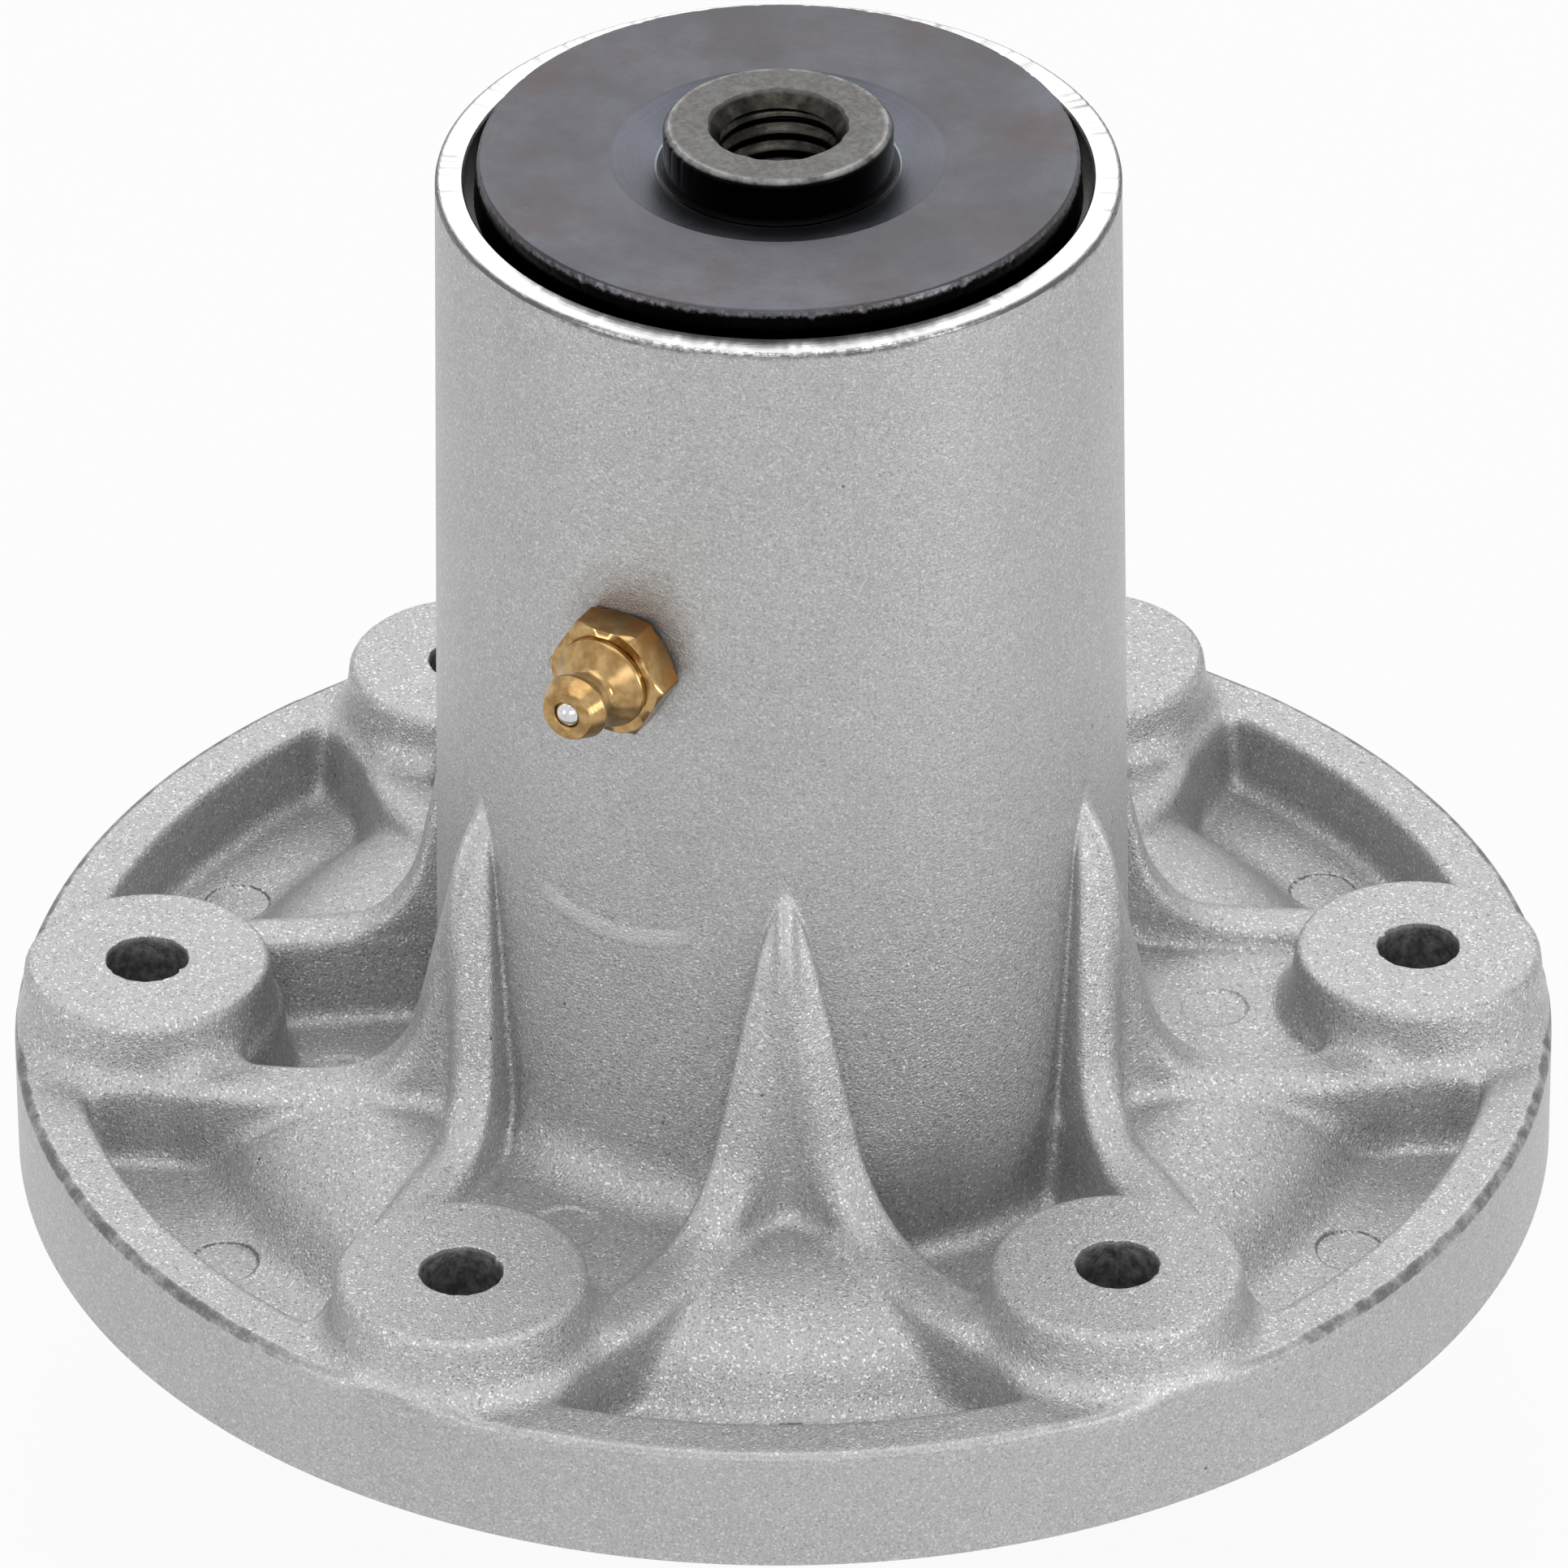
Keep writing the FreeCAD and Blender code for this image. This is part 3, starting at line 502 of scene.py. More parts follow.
def bolt_holes(wall_finish, lip_finish):
    """Rough wall of each bolt hole, and the lip that rolls over from the boss top into it."""
    inner = BOLT_HOLE_R - 0.04
    mouth = BOLT_HOLE_R + 0.3
    wall = rounded_profile([(inner, BOSS_TOP_Z - 0.22), (BOLT_HOLE_R, 0.3, 0.1), (mouth, 0.0)], 6)
    proud = BOSS_TOP_Z + 0.02
    lip = rounded_profile([(BOLT_HOLE_R + 1.0, BOSS_TOP_Z - 0.05), (BOLT_HOLE_R + 0.75, proud, 0.3),
                           (inner, proud, 0.14), (inner, BOSS_TOP_Z - 0.24)], 6)

    def rough(angle, radius, height):
        notch = 0.35 * np.exp(-((angle - 2.6) / 0.07) ** 2)
        uneven = 0.07 * wobble(angle, 40, 9, 2, 22) - notch
        return radius + uneven * ease((mouth - radius) / 0.2), height

    both = (("bolt_hole_walls", wall, wall_finish), ("bolt_hole_lips", lip, lip_finish))
    for name, profile, finish in both:
        points, quads = turned(profile, 160, rough)
        housing_piece(name, [(copy, quads) for copy in at_bolts(points)], finish)


def mounting_face(finish):
    """Flat ring at z = 0 in six parts, each spun from a bolt hole out to the edges of its sixth."""
    half = SIXTH / 2.0
    inner = BEARING_R + MACHINED_EDGE
    outer = FLANGE_R
    corner_angles = []
    for side in (-1.0, 1.0):
        for radius in (inner, outer):
            x = radius * math.sin(side * half)
            y = radius * math.cos(half) - BOLT_CIRCLE_R
            corner_angles.append(math.atan2(x, y) % (2.0 * math.pi))
    angles = np.unique(np.concatenate([np.linspace(0.0, 2.0 * np.pi, 256, endpoint=False), corner_angles]))
    way_x = np.sin(angles)
    way_y = np.cos(angles)
    along = BOLT_CIRCLE_R * way_y
    to_outer = -along + np.sqrt(along ** 2 - BOLT_CIRCLE_R ** 2 + outer ** 2)
    reach_in = along ** 2 - BOLT_CIRCLE_R ** 2 + inner ** 2
    to_inner = np.where((reach_in > 0.0) & (along < 0.0), -along - np.sqrt(np.maximum(reach_in, 0.0)), 1e9)
    slant = np.abs(way_x) * math.cos(half) - way_y * math.sin(half)
    to_side = np.where(slant > 1e-6, BOLT_CIRCLE_R * math.sin(half) / np.maximum(slant, 1e-6), 1e9)
    reach = np.minimum(np.minimum(to_outer, to_inner), to_side)
    hole = BOLT_HOLE_R + 0.3
    share = np.linspace(0.0, 1.0, 12)[:, None] ** 1.6
    spoke = hole + (reach - hole)[None, :] * share
    points = np.stack([spoke * way_x, -spoke * way_y, 0.0 * spoke], axis=2)
    parts = [(copy, grid_quads(len(share), len(angles), True)) for copy in at_bolts(points)]
    housing_piece("mounting_face", parts, finish)


def machined_rim(finish):
    """Turned end of the barrel: broken outer edge, bright face and wall of the recess round the disc."""
    top = HOUSING_HEIGHT
    profile = sharp_profile([(BARREL_TOP_R - 0.005, top - 0.5), (BARREL_TOP_R - 0.05, top - 0.2, 0.1),
                             (BARREL_TOP_R - 0.4, top - 0.02, 0.12), (RECESS_R + 0.2, top),
                             (RECESS_R, top - 0.2), (RECESS_R, RECESS_FLOOR_Z),
                             (BEARING_R + MACHINED_EDGE, RECESS_FLOOR_Z)])

    def broken(angle, radius, height):
        near = np.exp(-((radius - BARREL_TOP_R + 0.3) / 0.25) ** 2) * (height > top - 0.6)
        nicks = np.minimum(np.maximum(wobble(angle, 7, 14, 20, 200), 0.0) ** 2, 1.2)
        return radius - near * 0.08 * nicks, height - near * 0.08 * nicks

    housing_piece("machined_rim", [turned(profile, 720, broken)], finish)


def housing_bore(finish):
    """Bearing pockets at both ends and the cored bore between them."""
    wide = BEARING_R + MACHINED_EDGE
    profile = sharp_profile([(wide, RECESS_FLOOR_Z), (BEARING_R, RECESS_FLOOR_Z - MACHINED_EDGE),
                             (BEARING_R, BLADE_BEARING_LOW), (CORED_BORE_R, BLADE_BEARING_LOW),
                             (CORED_BORE_R, PULLEY_BEARING_TOP), (BEARING_R, PULLEY_BEARING_TOP),
                             (BEARING_R, MACHINED_EDGE), (wide, 0.0)])
    housing_piece("housing_bore", [turned(profile, 192)], finish)


# The shaft, its disc and its hub


def shield_disc(finish):
    """Black disc: dish, top face, rough rolled edge, side and underside."""
    dish = [(HUB_R + 0.55, DISH_FLOOR_Z), (DISH_R, DISC_TOP_Z, 0.6), (DISH_R + 1.5, DISC_TOP_Z)]
    rolled = [(DISC_R - 1.9, DISC_TOP_Z), (DISC_R - 0.1, DISC_TOP_Z, 0.28),
              (DISC_R + 0.12, DISC_TOP_Z - 1.0, 0.5)]
    underside = [(DISC_LOW_R, DISC_LOW_Z + 0.6, 0.4), (DISC_LOW_R - 0.3, DISC_LOW_Z, 0.2),
                 (NECK_R, DISC_LOW_Z), (NECK_R, JOURNAL_TOP_Z), (JOURNAL_R, JOURNAL_TOP_Z)]
    profile = sharp_profile(dish + rolled + underside)

    def burred(angle, radius, height):
        edge = np.exp(-((radius - DISC_R) / 0.4) ** 2) * (height > DISC_TOP_Z - 1.2)
        low = np.exp(-((height - DISC_LOW_Z - 0.6) / 0.8) ** 2) * (radius > DISC_R)
        nicks = np.minimum(np.maximum(wobble(angle, 3, 12, 20, 170), 0.0) ** 2, 0.8)
        rough = wobble(angle + height * 0.05, 5, 9, 30, 150)
        return radius - edge * 0.11 * nicks - low * 0.05 * np.abs(rough), height - edge * 0.06 * nicks

    shaft_piece("shield_disc", [turned(profile, 720, burred)], finish)


def blade_hub(finish):
    """Raised hub: fillet at its foot, broken upper edge, top face and chamfered mouth of the bolt's hole."""
    profile = sharp_profile([(HUB_R + 0.9, DISH_FLOOR_Z + 0.01), (HUB_R, DISH_FLOOR_Z + 0.05, 0.55),
                             (HUB_R, HUB_TOP_Z - 0.55, 0.25), (HUB_R - 0.5, HUB_TOP_Z, 0.25),
                             (6.85, HUB_TOP_Z, 0.12), (BLADE_THREAD_MINOR_R + 0.05, HUB_TOP_Z - 1.5)])

    def burred(angle, radius, height):
        edge = np.exp(-((radius - HUB_R + 0.3) / 0.35) ** 2) * (height > HUB_TOP_Z - 1.0)
        mouth = np.exp(-((radius - 6.8) / 0.3) ** 2)
        nicks = np.maximum(wobble(angle, 13, 7, 5, 40), 0.0) ** 2
        return radius - edge * 0.10 * nicks + mouth * 0.10 * wobble(angle, 14, 7, 3, 26), height

    shaft_piece("blade_hub", [turned(profile, 480, burred)], finish)


def screw_thread(root_r, crest_r, pitch, z_top, z_low, columns=72):
    """Thread surface: its radius rises and falls once for each pitch of height and once for each turn."""
    turns = (z_top - z_low) / pitch
    per_pitch = 10
    rows = int(turns * per_pitch) + 1
    angle = all_round(columns)
    z = np.linspace(z_top, z_low, rows)[:, None]
    phase = np.mod(z / pitch + angle / (2.0 * np.pi), 1.0)
    tooth = np.clip((np.abs(phase - 0.5) * 2.0 - 0.14) / 0.72, 0.0, 1.0)
    radius = root_r + (crest_r - root_r) * tooth
    points = np.stack([radius * np.sin(angle), -radius * np.cos(angle), z + 0.0 * angle], axis=2)
    return points, grid_quads(rows, columns, True)


def blade_bolt_thread(finish):
    """Threaded wall of the blade bolt's hole, with the drill's cone at its end."""
    top = HUB_TOP_Z - 1.45
    low = HUB_TOP_Z - BLADE_THREAD_DEPTH
    wall = screw_thread(BLADE_THREAD_MINOR_R, BLADE_THREAD_MAJOR_R, BLADE_THREAD_PITCH, top, low)
    cone = turned(np.array([(BLADE_THREAD_MINOR_R, low), (0.01, low - 3.3)]), 72)
    shaft_piece("blade_bolt_thread", [wall, cone], finish)


def shaft_end(finish):
    """Bearing journals, splined drive and the threaded end that takes the nut."""
    journal = turned(sharp_profile([(JOURNAL_R, JOURNAL_TOP_Z), (JOURNAL_R, JOURNAL_END_Z + 0.5),
                                    (JOURNAL_R - 0.5, JOURNAL_END_Z), (9.0, JOURNAL_END_Z)]), 192)
    columns = 400
    angle = all_round(columns)
    tooth = np.mod(angle / (2.0 * np.pi) * SPLINES + 0.5, 1.0)
    share = ease((0.27 - np.abs(tooth - 0.5)) / 0.06 + 0.5)
    level = [JOURNAL_END_Z, JOURNAL_END_Z - 0.01, SPLINE_END_Z + 0.7, SPLINE_END_Z, SPLINE_END_Z]
    level = np.array(level)[:, None]
    chamfered_r = SPLINE_CREST_R - 0.6
    crest = np.array([SPLINE_CREST_R, SPLINE_CREST_R, SPLINE_CREST_R, chamfered_r, chamfered_r])[:, None]
    radius = SPLINE_ROOT_R + (crest - SPLINE_ROOT_R) * share
    radius[-1] = NUT_THREAD_R - 0.9
    points = np.stack([radius * np.sin(angle), -radius * np.cos(angle), level + 0.0 * angle], axis=2)
    spline = (points, grid_quads(len(level), columns, True))
    root_r = NUT_THREAD_R - 0.85
    thread = screw_thread(NUT_THREAD_R, root_r, NUT_THREAD_PITCH, SPLINE_END_Z, SHAFT_END_Z + 1.1)
    end = turned(sharp_profile([(NUT_THREAD_R - 0.2, SHAFT_END_Z + 1.15), (NUT_THREAD_R - 1.3, SHAFT_END_Z),
                                (1.6, SHAFT_END_Z), (0.01, SHAFT_END_Z + 1.6)]), 96)
    shaft_piece("shaft_journals_and_splines", [journal, spline, thread, end], finish)


# The grease nipple


def on_nipple_axis(points):
    """Points that stand on Z, laid along -Y at the nipple's place."""
    x = NIPPLE_SIDE + points[..., 0]
    y = NIPPLE_BACK_Y - points[..., 2]
    z = NIPPLE_Z + points[..., 1]
    return np.stack([x, y, z], axis=-1)


def nipple_piece(name, points, quads, finish):
    """Piece of the nipple's brass body."""
    make_piece(name, [(on_nipple_axis(points), quads)], "housing", finish, "nipple_body")


def nipple_hexagon(finish):
    """Hexagon whose radius is the smaller of its flats' distance and the cone that chamfers its corners."""
    corner_r = NIPPLE_HEX_CORNER_R
    top = NIPPLE_HEX_HEIGHT
    profile = rounded_profile([(2.6, 0.0), (5.75, 0.0, 0.1), (corner_r, 0.38, 0.15),
                               (corner_r, top - 0.55, 0.15), (5.75, top, 0.15), (4.3, top)], 4)
    columns = 240
    angle = all_round(columns)
    flat = NIPPLE_HEX_FLAT_R / np.cos(np.mod(angle, SIXTH) - SIXTH / 2.0)
    radius = smooth_min(profile[:, 0][:, None] + 0.0 * angle, flat + 0.0 * profile[:, 0][:, None], 0.12)
    height = profile[:, 1][:, None] + 0.0 * angle
    points = np.stack([radius * np.cos(angle), radius * np.sin(angle), height], axis=2)
    nipple_piece("nipple_hexagon", points, grid_quads(len(profile), columns, True), finish)


def nipple_head(finish):
    """Turned front of the nipple: bell shoulder, neck, head, cone, face and the lip round the ball."""
    shoulder = [(4.3, NIPPLE_HEX_HEIGHT - 0.05), (4.75, 3.85, 0.2), (4.75, 4.5, 0.5), (3.7, 5.5, 1.0)]
    neck = [(2.55, 6.6, 1.0), (2.45, 8.0, 0.3), (2.9, 8.25, 0.2)]
    head = [(3.4, 8.9, 0.25), (3.4, 9.25, 0.2), (2.68, 10.85, 0.1), (2.55, 11.0), (1.5, 11.0, 0.05)]
    socket = [(1.36, 10.85), (1.36, 10.5), (1.65, 10.1), (1.65, 7.0), (0.01, 7.0)]
    points, quads = turned(sharp_profile(shoulder + neck + head + socket), 144)
    nipple_piece("nipple_head", points, quads[:, ::-1], finish)


def round_ball(centre, radius, columns=48):
    """Sphere by latitude and longitude about a centre."""
    tilt = np.linspace(0.002, np.pi - 0.002, columns // 2)[:, None]
    turn = all_round(columns)
    points = np.stack([radius * np.sin(tilt) * np.cos(turn), radius * np.sin(tilt) * np.sin(turn),
                       radius * np.cos(tilt) + 0.0 * turn], axis=2)
    return points + np.array(centre), grid_quads(columns // 2, columns, True)[:, ::-1]


def check_ball(finish):
    """Bright ball in the nipple's mouth."""
    points, quads = round_ball((0.0, 0.0, CHECK_BALL_OUT), CHECK_BALL_R)
    make_piece("nipple_round_ball", [(on_nipple_axis(points), quads)], "check_ball", finish,
               "nipple_check_ball")


def bearing_balls(end, middle_z, finish):
    """Nine balls of the bearing at one end."""
    parts = []
    for i in range(9):
        turn = 2.0 * math.pi * i / 9.0
        centre = (BALL_CIRCLE_R * math.sin(turn), -BALL_CIRCLE_R * math.cos(turn), middle_z)
        parts.append(round_ball(centre, BALL_R, 28))
    make_piece(end + "_round_balls", parts, end + "_rolling_set", finish, end + "_balls")


# Finishes


class Signal:
    """One output socket of a finish's nodes. Arithmetic on it adds Math nodes."""

    def __init__(self, finish, socket):
        self.finish = finish
        self.socket = socket

    def __getitem__(self, name):
        return Signal(self.finish, self.socket.node.outputs[name])

    def __add__(self, other):
        return self.finish.math("ADD", self, other)

    def __sub__(self, other):
        return self.finish.math("SUBTRACT", self, other)

    def __rsub__(self, other):
        return self.finish.math("SUBTRACT", other, self)

    def __mul__(self, other):
        return self.finish.math("MULTIPLY", self, other)

    def __pow__(self, other):
        return self.finish.math("POWER", self, other)

    __radd__ = __add__
    __rmul__ = __mul__

    def most(self, other):
        return self.finish.math("MAXIMUM", self, other)

    def step(self, low, high):
        """Smooth step from 0 at low to 1 at high."""
        return self.finish.node("ShaderNodeMapRange", {"interpolation_type": "SMOOTHSTEP"},
                                {"Value": self, "From Min": low, "From Max": high})


class Finish:
    """Nodes of a new material, or of another node tree, made one call at a time."""

    def __init__(self, name, tree=None):
        if tree is None:
            self.material = bpy.data.materials.new(name)
            self.material.use_nodes = True
            tree = self.material.node_tree
        self.tree = tree
        self.tree.nodes.clear()

    def node(self, kind, settings, inputs, output=None):
        """Adds a node: its settings are set first, then its sockets by name. Gives one live output."""
        made = self.tree.nodes.new(kind)
        for name, value in settings.items():
            setattr(made, name, value)
        for name, value in inputs.items():
            if isinstance(name, int):
                socket = made.inputs[name]
            else:
                socket = next(s for s in made.inputs if s.name == name and s.enabled)
            if isinstance(value, Signal):
                self.tree.links.new(value.socket, socket)
            else:
                socket.default_value = value
        if not made.outputs:
            return None
        live = next(s for s in made.outputs if s.enabled and (output is None or s.name == output))
        return Signal(self, live)

    def math(self, operation, a, b):
        return self.node("ShaderNodeMath", {"operation": operation}, {0: a, 1: b})

    def blend(self, share, a, b):
        """Colour a where share is 0 and colour b where it is 1."""
        return self.node("ShaderNodeMix", {"data_type": "RGBA"},
                         {"Factor": share, "A": colour(a), "B": colour(b)})

    def place(self):
        """Object coordinates, which on every piece are the part's own metres."""
        return self.node("ShaderNodeTexCoord", {}, {}, "Object")

    def axes(self, vector):
        split = self.node("ShaderNodeSeparateXYZ", {}, {"Vector": vector})
        return split["X"], split["Y"], split["Z"]

    def noise(self, vector, size_mm, detail=3.0, roughness=0.55):
        """Noise whose largest lumps are about size_mm across, from 0 to 1."""
        return self.node("ShaderNodeTexNoise", {}, {"Vector": vector, "Scale": 1000.0 / size_mm,
                                                    "Detail": detail, "Roughness": roughness})

    def tool_rings(self, along, scale, detail):
        """Noise along one measure alone, for the marks left by turning."""
        return self.node("ShaderNodeTexNoise", {"noise_dimensions": "1D"},
                         {"W": along, "Scale": scale, "Detail": detail})

    def cells(self, vector, size_mm):
        """Cells about size_mm across, each with its own colour and the distance from its middle."""
        return self.node("ShaderNodeTexVoronoi", {"feature": "F1"},
                         {"Vector": vector, "Scale": 1000.0 / size_mm})

    def front(self, x, y):
        """Millimetres from the axis towards the side of the part that the photograph shows."""
        return x * (1000.0 * math.sin(PHOTO_TURN)) - y * (1000.0 * math.cos(PHOTO_TURN))

    def relief(self, height, depth_mm, strength=1.0, over=None):
        """Bump of the given depth in millimetres from a height of 0 to 1."""
        inputs = {"Height": height, "Distance": depth_mm * MM, "Strength": strength}
        if over is not None:
            inputs["Normal"] = over
        return self.node("ShaderNodeBump", {}, inputs)

    def shade(self, inputs):
        """Principled surface to the output."""
        surface = self.node("ShaderNodeBsdfPrincipled", {}, inputs)
        self.node("ShaderNodeOutputMaterial", {}, {"Surface": surface})
        return self.material


def colour(value):
    """Grey number or (r, g, b) written in sRGB as a linear colour with alpha; a signal is passed on."""
    if isinstance(value, Signal):
        return value
    if not isinstance(value, tuple):
        value = (value, value, value)
    return tuple(((c + 0.055) / 1.055) ** 2.4 if c > 0.04045 else c / 12.92 for c in value) + (1.0,)


def cast_finish():
    """Blasted die casting: fine even grain with dark flecks and with bright flecks that are also painted
    glints, and soft mottling.

    A brown stain lies round the nipple. A dark ragged flash line runs along the flange's upper edge,
    strengthened on the sides by painted shade, and a painted shadow lies under the burr at the turned end. A
    small raised arc on the barrel below the nipple is painted pale as its highlight. A few small pit marks
    are painted dark as their shade, with no hollow in the surface.
    """
    f = Finish("blasted casting")
    at = f.place()
    x, y, z = f.axes(at)
    grain = f.noise(at, 0.24, 2.0, 0.6)
    coarse = f.noise(at, 0.9, 2.0)
    mottle = f.noise(at, 9.0, 3.0)
    flecks = f.cells(at, 0.20)["Color"]
    glint_fleck = f.node("ShaderNodeSeparateColor", {}, {"Color": flecks}, "Red").step(0.84, 1.0)
    speck = f.node("ShaderNodeSeparateColor", {}, {"Color": flecks}, "Green").step(0.86, 1.0)
    tone = 0.5 + (grain - 0.5) * 0.9 + (coarse - 0.5) * 0.14 + (mottle - 0.5) * 0.12
    base = f.blend(tone.step(0.25, 0.75), 0.635, 0.765)
    radius = (x * x + y * y) ** 0.5 * 1000.0
    height = z * 1000.0
    webs = (1.0 - height.step(22.0, 60.0)) * (1.0 - radius.step(75.6, 76.4))
    # Bright flecks: grain, and painted glints too, made stronger on the low webs and floors that face the
    # light from above.
    base = f.blend(glint_fleck * (0.34 + webs * 0.4), base, 0.97)
    base = f.blend(speck * (0.26 + webs * 0.26), base, 0.34)
    side = (x - NIPPLE_SIDE * MM) * 1000.0
    up = (z - (NIPPLE_Z + 3.4) * MM) * 1000.0
    front = (-1000.0 * y).step(30.0, 33.0)
    spread = (side * side * 0.9 + up * up * 0.8) ** 0.5 + (coarse - 0.5) * 4.0 + (mottle - 0.5) * 3.0
    stain = (1.0 - spread.step(2.5, 8.2)) * front
    base = f.blend(stain * 0.45, base, (0.50, 0.44, 0.39))
    ragged = f.noise(at, 2.6, 4.0, 0.7)
    patchy = f.noise(at, 26.0, 2.0)
    torn = (ragged - 0.5) * 0.6
    edge = (radius + torn).step(75.9, 76.2) * (height + torn).step(11.9, 12.3)
    edge = edge * (1.0 - height.step(13.0, 13.3)) * patchy.step(0.20, 0.36)
    # The dark ragged flash line along the flange's upper edge is strengthened by painted shade on the sides
    # away from the front.
    flank_shade = 1.0 - f.front(x, y).step(54.0, 64.0)
    base = f.blend(edge * (0.2 + flank_shade * 0.8) * (0.25 + ragged.step(0.34, 0.60) * 0.5), base, 0.27)
    rough = 0.44 + (grain - 0.5) * 0.16 - glint_fleck * 0.12
    # Painted shadow under the burr of the turned end: a patchy dark band just below the machined rim.
    burr_shadow = height.step(109.0, 109.45) * patchy.step(0.46, 0.52) * (0.3 + ragged.step(0.4, 0.6) * 0.5)
    base = f.blend(burr_shadow, base, 0.30)
    # Painted shade of a few small pit marks: dark spots with no hollow in the surface.
    pit_shade = 1.0 - f.cells(at, 7.0)["Distance"].step(0.018, 0.032)
    base = f.blend(pit_shade * 0.8, base, 0.22)
    bump = f.relief((grain - 0.5) * (0.8 + webs * 0.9), 0.09, 0.9)
    bump = f.relief(coarse, 0.07, 0.6, bump)
    across = x * 1000.0
    below = (height - 42.1) - (across - 0.7) * (across - 0.7) * 0.024
    # A small raised arc on the barrel below the nipple: a real bump, with a painted highlight that lightens
    # its colour.
    arc_and_highlight = (1.0 - (below * below).step(0.0, 1.6)) * (1.0 - (across * across).step(40.0, 90.0))
    arc_and_highlight = arc_and_highlight * (-1000.0 * y).step(20.0, 25.0)
    base = f.blend(arc_and_highlight * 0.35, base, 0.88)
    bump = f.relief(arc_and_highlight, 0.05, 1.0, bump)
    return f.shade({"Base Color": base, "Metallic": 0.72, "Roughness": rough, "Specular IOR Level": 0.3,
                    "Normal": bump})


def hole_finish():
    """Inside of the cast bolt holes: darker and rougher, paler at the mouth."""
    f = Finish("rough cored hole")
    at = f.place()
    lumps = f.noise(at, 1.1, 4.0, 0.65)
    z = f.axes(at)[2]
    edge = (z * 1000.0).step(BOSS_TOP_Z - 0.8, BOSS_TOP_Z - 0.1)
    base = f.blend(lumps.step(0.3, 0.75), 0.34, 0.62)
    base = f.blend(edge, base, 0.70)
    bump = f.relief(lumps, 0.4)
    return f.shade({"Base Color": base, "Metallic": 0.5, "Roughness": 0.6, "Normal": bump})


def machined_finish():
    """Turned aluminium: bright, with faint tool rings, a painted shadow under the burred outer edge and
    painted shade on the recess wall.
    """
    f = Finish("turned aluminium")
    at = f.place()
    x, y, z = f.axes(at)
    radius = (x * x + y * y) ** 0.5
    rings = f.tool_rings(radius * 6000.0 + z * 5000.0, 1.0, 2.0)
    smear = f.noise(at, 3.0, 3.0)
    base = f.blend(smear.step(0.3, 0.8), 0.66, 0.79)
    # Painted shadow under the burr along the outer edge: solid dark on the sides away from the front, in
    # patches at the front.
    shadow_noise = f.noise(at, 0.6, 4.0, 0.7)
    front = f.front(x, y).step(24.0, 31.0)
    edge = (radius * 1000.0 + (shadow_noise - 0.5) * 0.3).step(BARREL_TOP_R - 0.30, BARREL_TOP_R - 0.20)
    dark = (1.0 - front) * 0.85 + front * shadow_noise.step(0.46, 0.54) * 0.6
    base = f.blend(edge * dark, base, 0.30)
    # Painted shade on the recess wall round the disc: darker below the top face, inside the recess radius.
    wall = 1.0 - (z * 1000.0).step(HOUSING_HEIGHT - 0.5, HOUSING_HEIGHT - 0.2)
    base = f.blend(wall * (1.0 - (radius * 1000.0).step(RECESS_R + 0.3, RECESS_R + 0.6)), base, 0.38)
    bump = f.relief(rings, 0.006)
    rough = 0.22 + (smear - 0.5) * 0.12
    return f.shade({"Base Color": base, "Metallic": 0.9, "Roughness": rough, "Normal": bump})


def oxide_finish():
    """Black oxide over turned steel: blue-grey and brown clouds, tool rings, a dish painted paler as the
    sheen it reflects, a painted highlight on the hub's foot fillet, and a worn edge that also carries a
    painted highlight.
    """
    f = Finish("black oxide")
    at = f.place()
    x, y, z = f.axes(at)
    radius = (x * x + y * y) ** 0.5 * 1000.0
    height = z * 1000.0
    cloud = f.noise(at, 16.0, 4.0, 0.6)
    brown = f.noise(at, 11.0, 6.0, 0.72)
    fine = f.noise(at, 0.5, 3.0, 0.7)
    rings = f.tool_rings(radius, 3.5, 3.0)
    face = height.step(DISH_FLOOR_Z - 1.2, DISH_FLOOR_Z - 0.2)
    face = (1.0 - radius.step(DISC_R - 0.02, DISC_R + 0.06)) * face
    # Paler broken line on the top of the disc's rolled edge: wear, and a painted highlight along the edge.
    worn = radius.step(DISC_R - 0.12, DISC_R) * fine.step(0.42, 0.62)
    worn = worn * height.step(DISC_TOP_Z - 0.9, DISC_TOP_Z - 0.4)
    base = f.blend(cloud.step(0.35, 0.7), (0.265, 0.26, 0.275), (0.33, 0.33, 0.355))
    outer = 0.35 + radius.step(17.0, 27.0) * 0.65
    base = f.blend(brown.step(0.40, 0.70) * outer * 0.75, base, (0.315, 0.27, 0.262))
    # The dish is painted paler to stand for the sheen it reflects on its sides.
    dish = 1.0 - radius.step(DISH_R - 0.35, DISH_R + 0.1)
    base = f.blend(dish * 0.6, base, (0.34, 0.35, 0.385))
    # Painted highlight: a pale blue-white line on the fillet at the hub's foot.
    foot = radius.step(HUB_R + 0.05, HUB_R + 0.35) * (1.0 - radius.step(HUB_R + 0.55, HUB_R + 0.95))
    base = f.blend(foot * 0.6, base, (0.62, 0.67, 0.70))
    base = f.blend((rings - 0.5) * 0.6 + 0.2, base, (0.26, 0.28, 0.31))
    base = f.blend(fine.step(0.66, 0.8) * 0.3, base, 0.50)
    base = f.blend(1.0 - face, base, (0.03, 0.026, 0.03))
    base = f.blend(worn * 0.8, base, 0.45)
    rough = 0.36 + (brown - 0.5) * 0.25 + (fine - 0.5) * 0.1 - (1.0 - face) * 0.14
    bump = f.relief(fine, 0.03, 0.5)
    bump = f.relief(rings, 0.03, 0.35, bump)
    return f.shade({"Base Color": base, "Metallic": 1.0, "Roughness": rough, "Normal": bump})


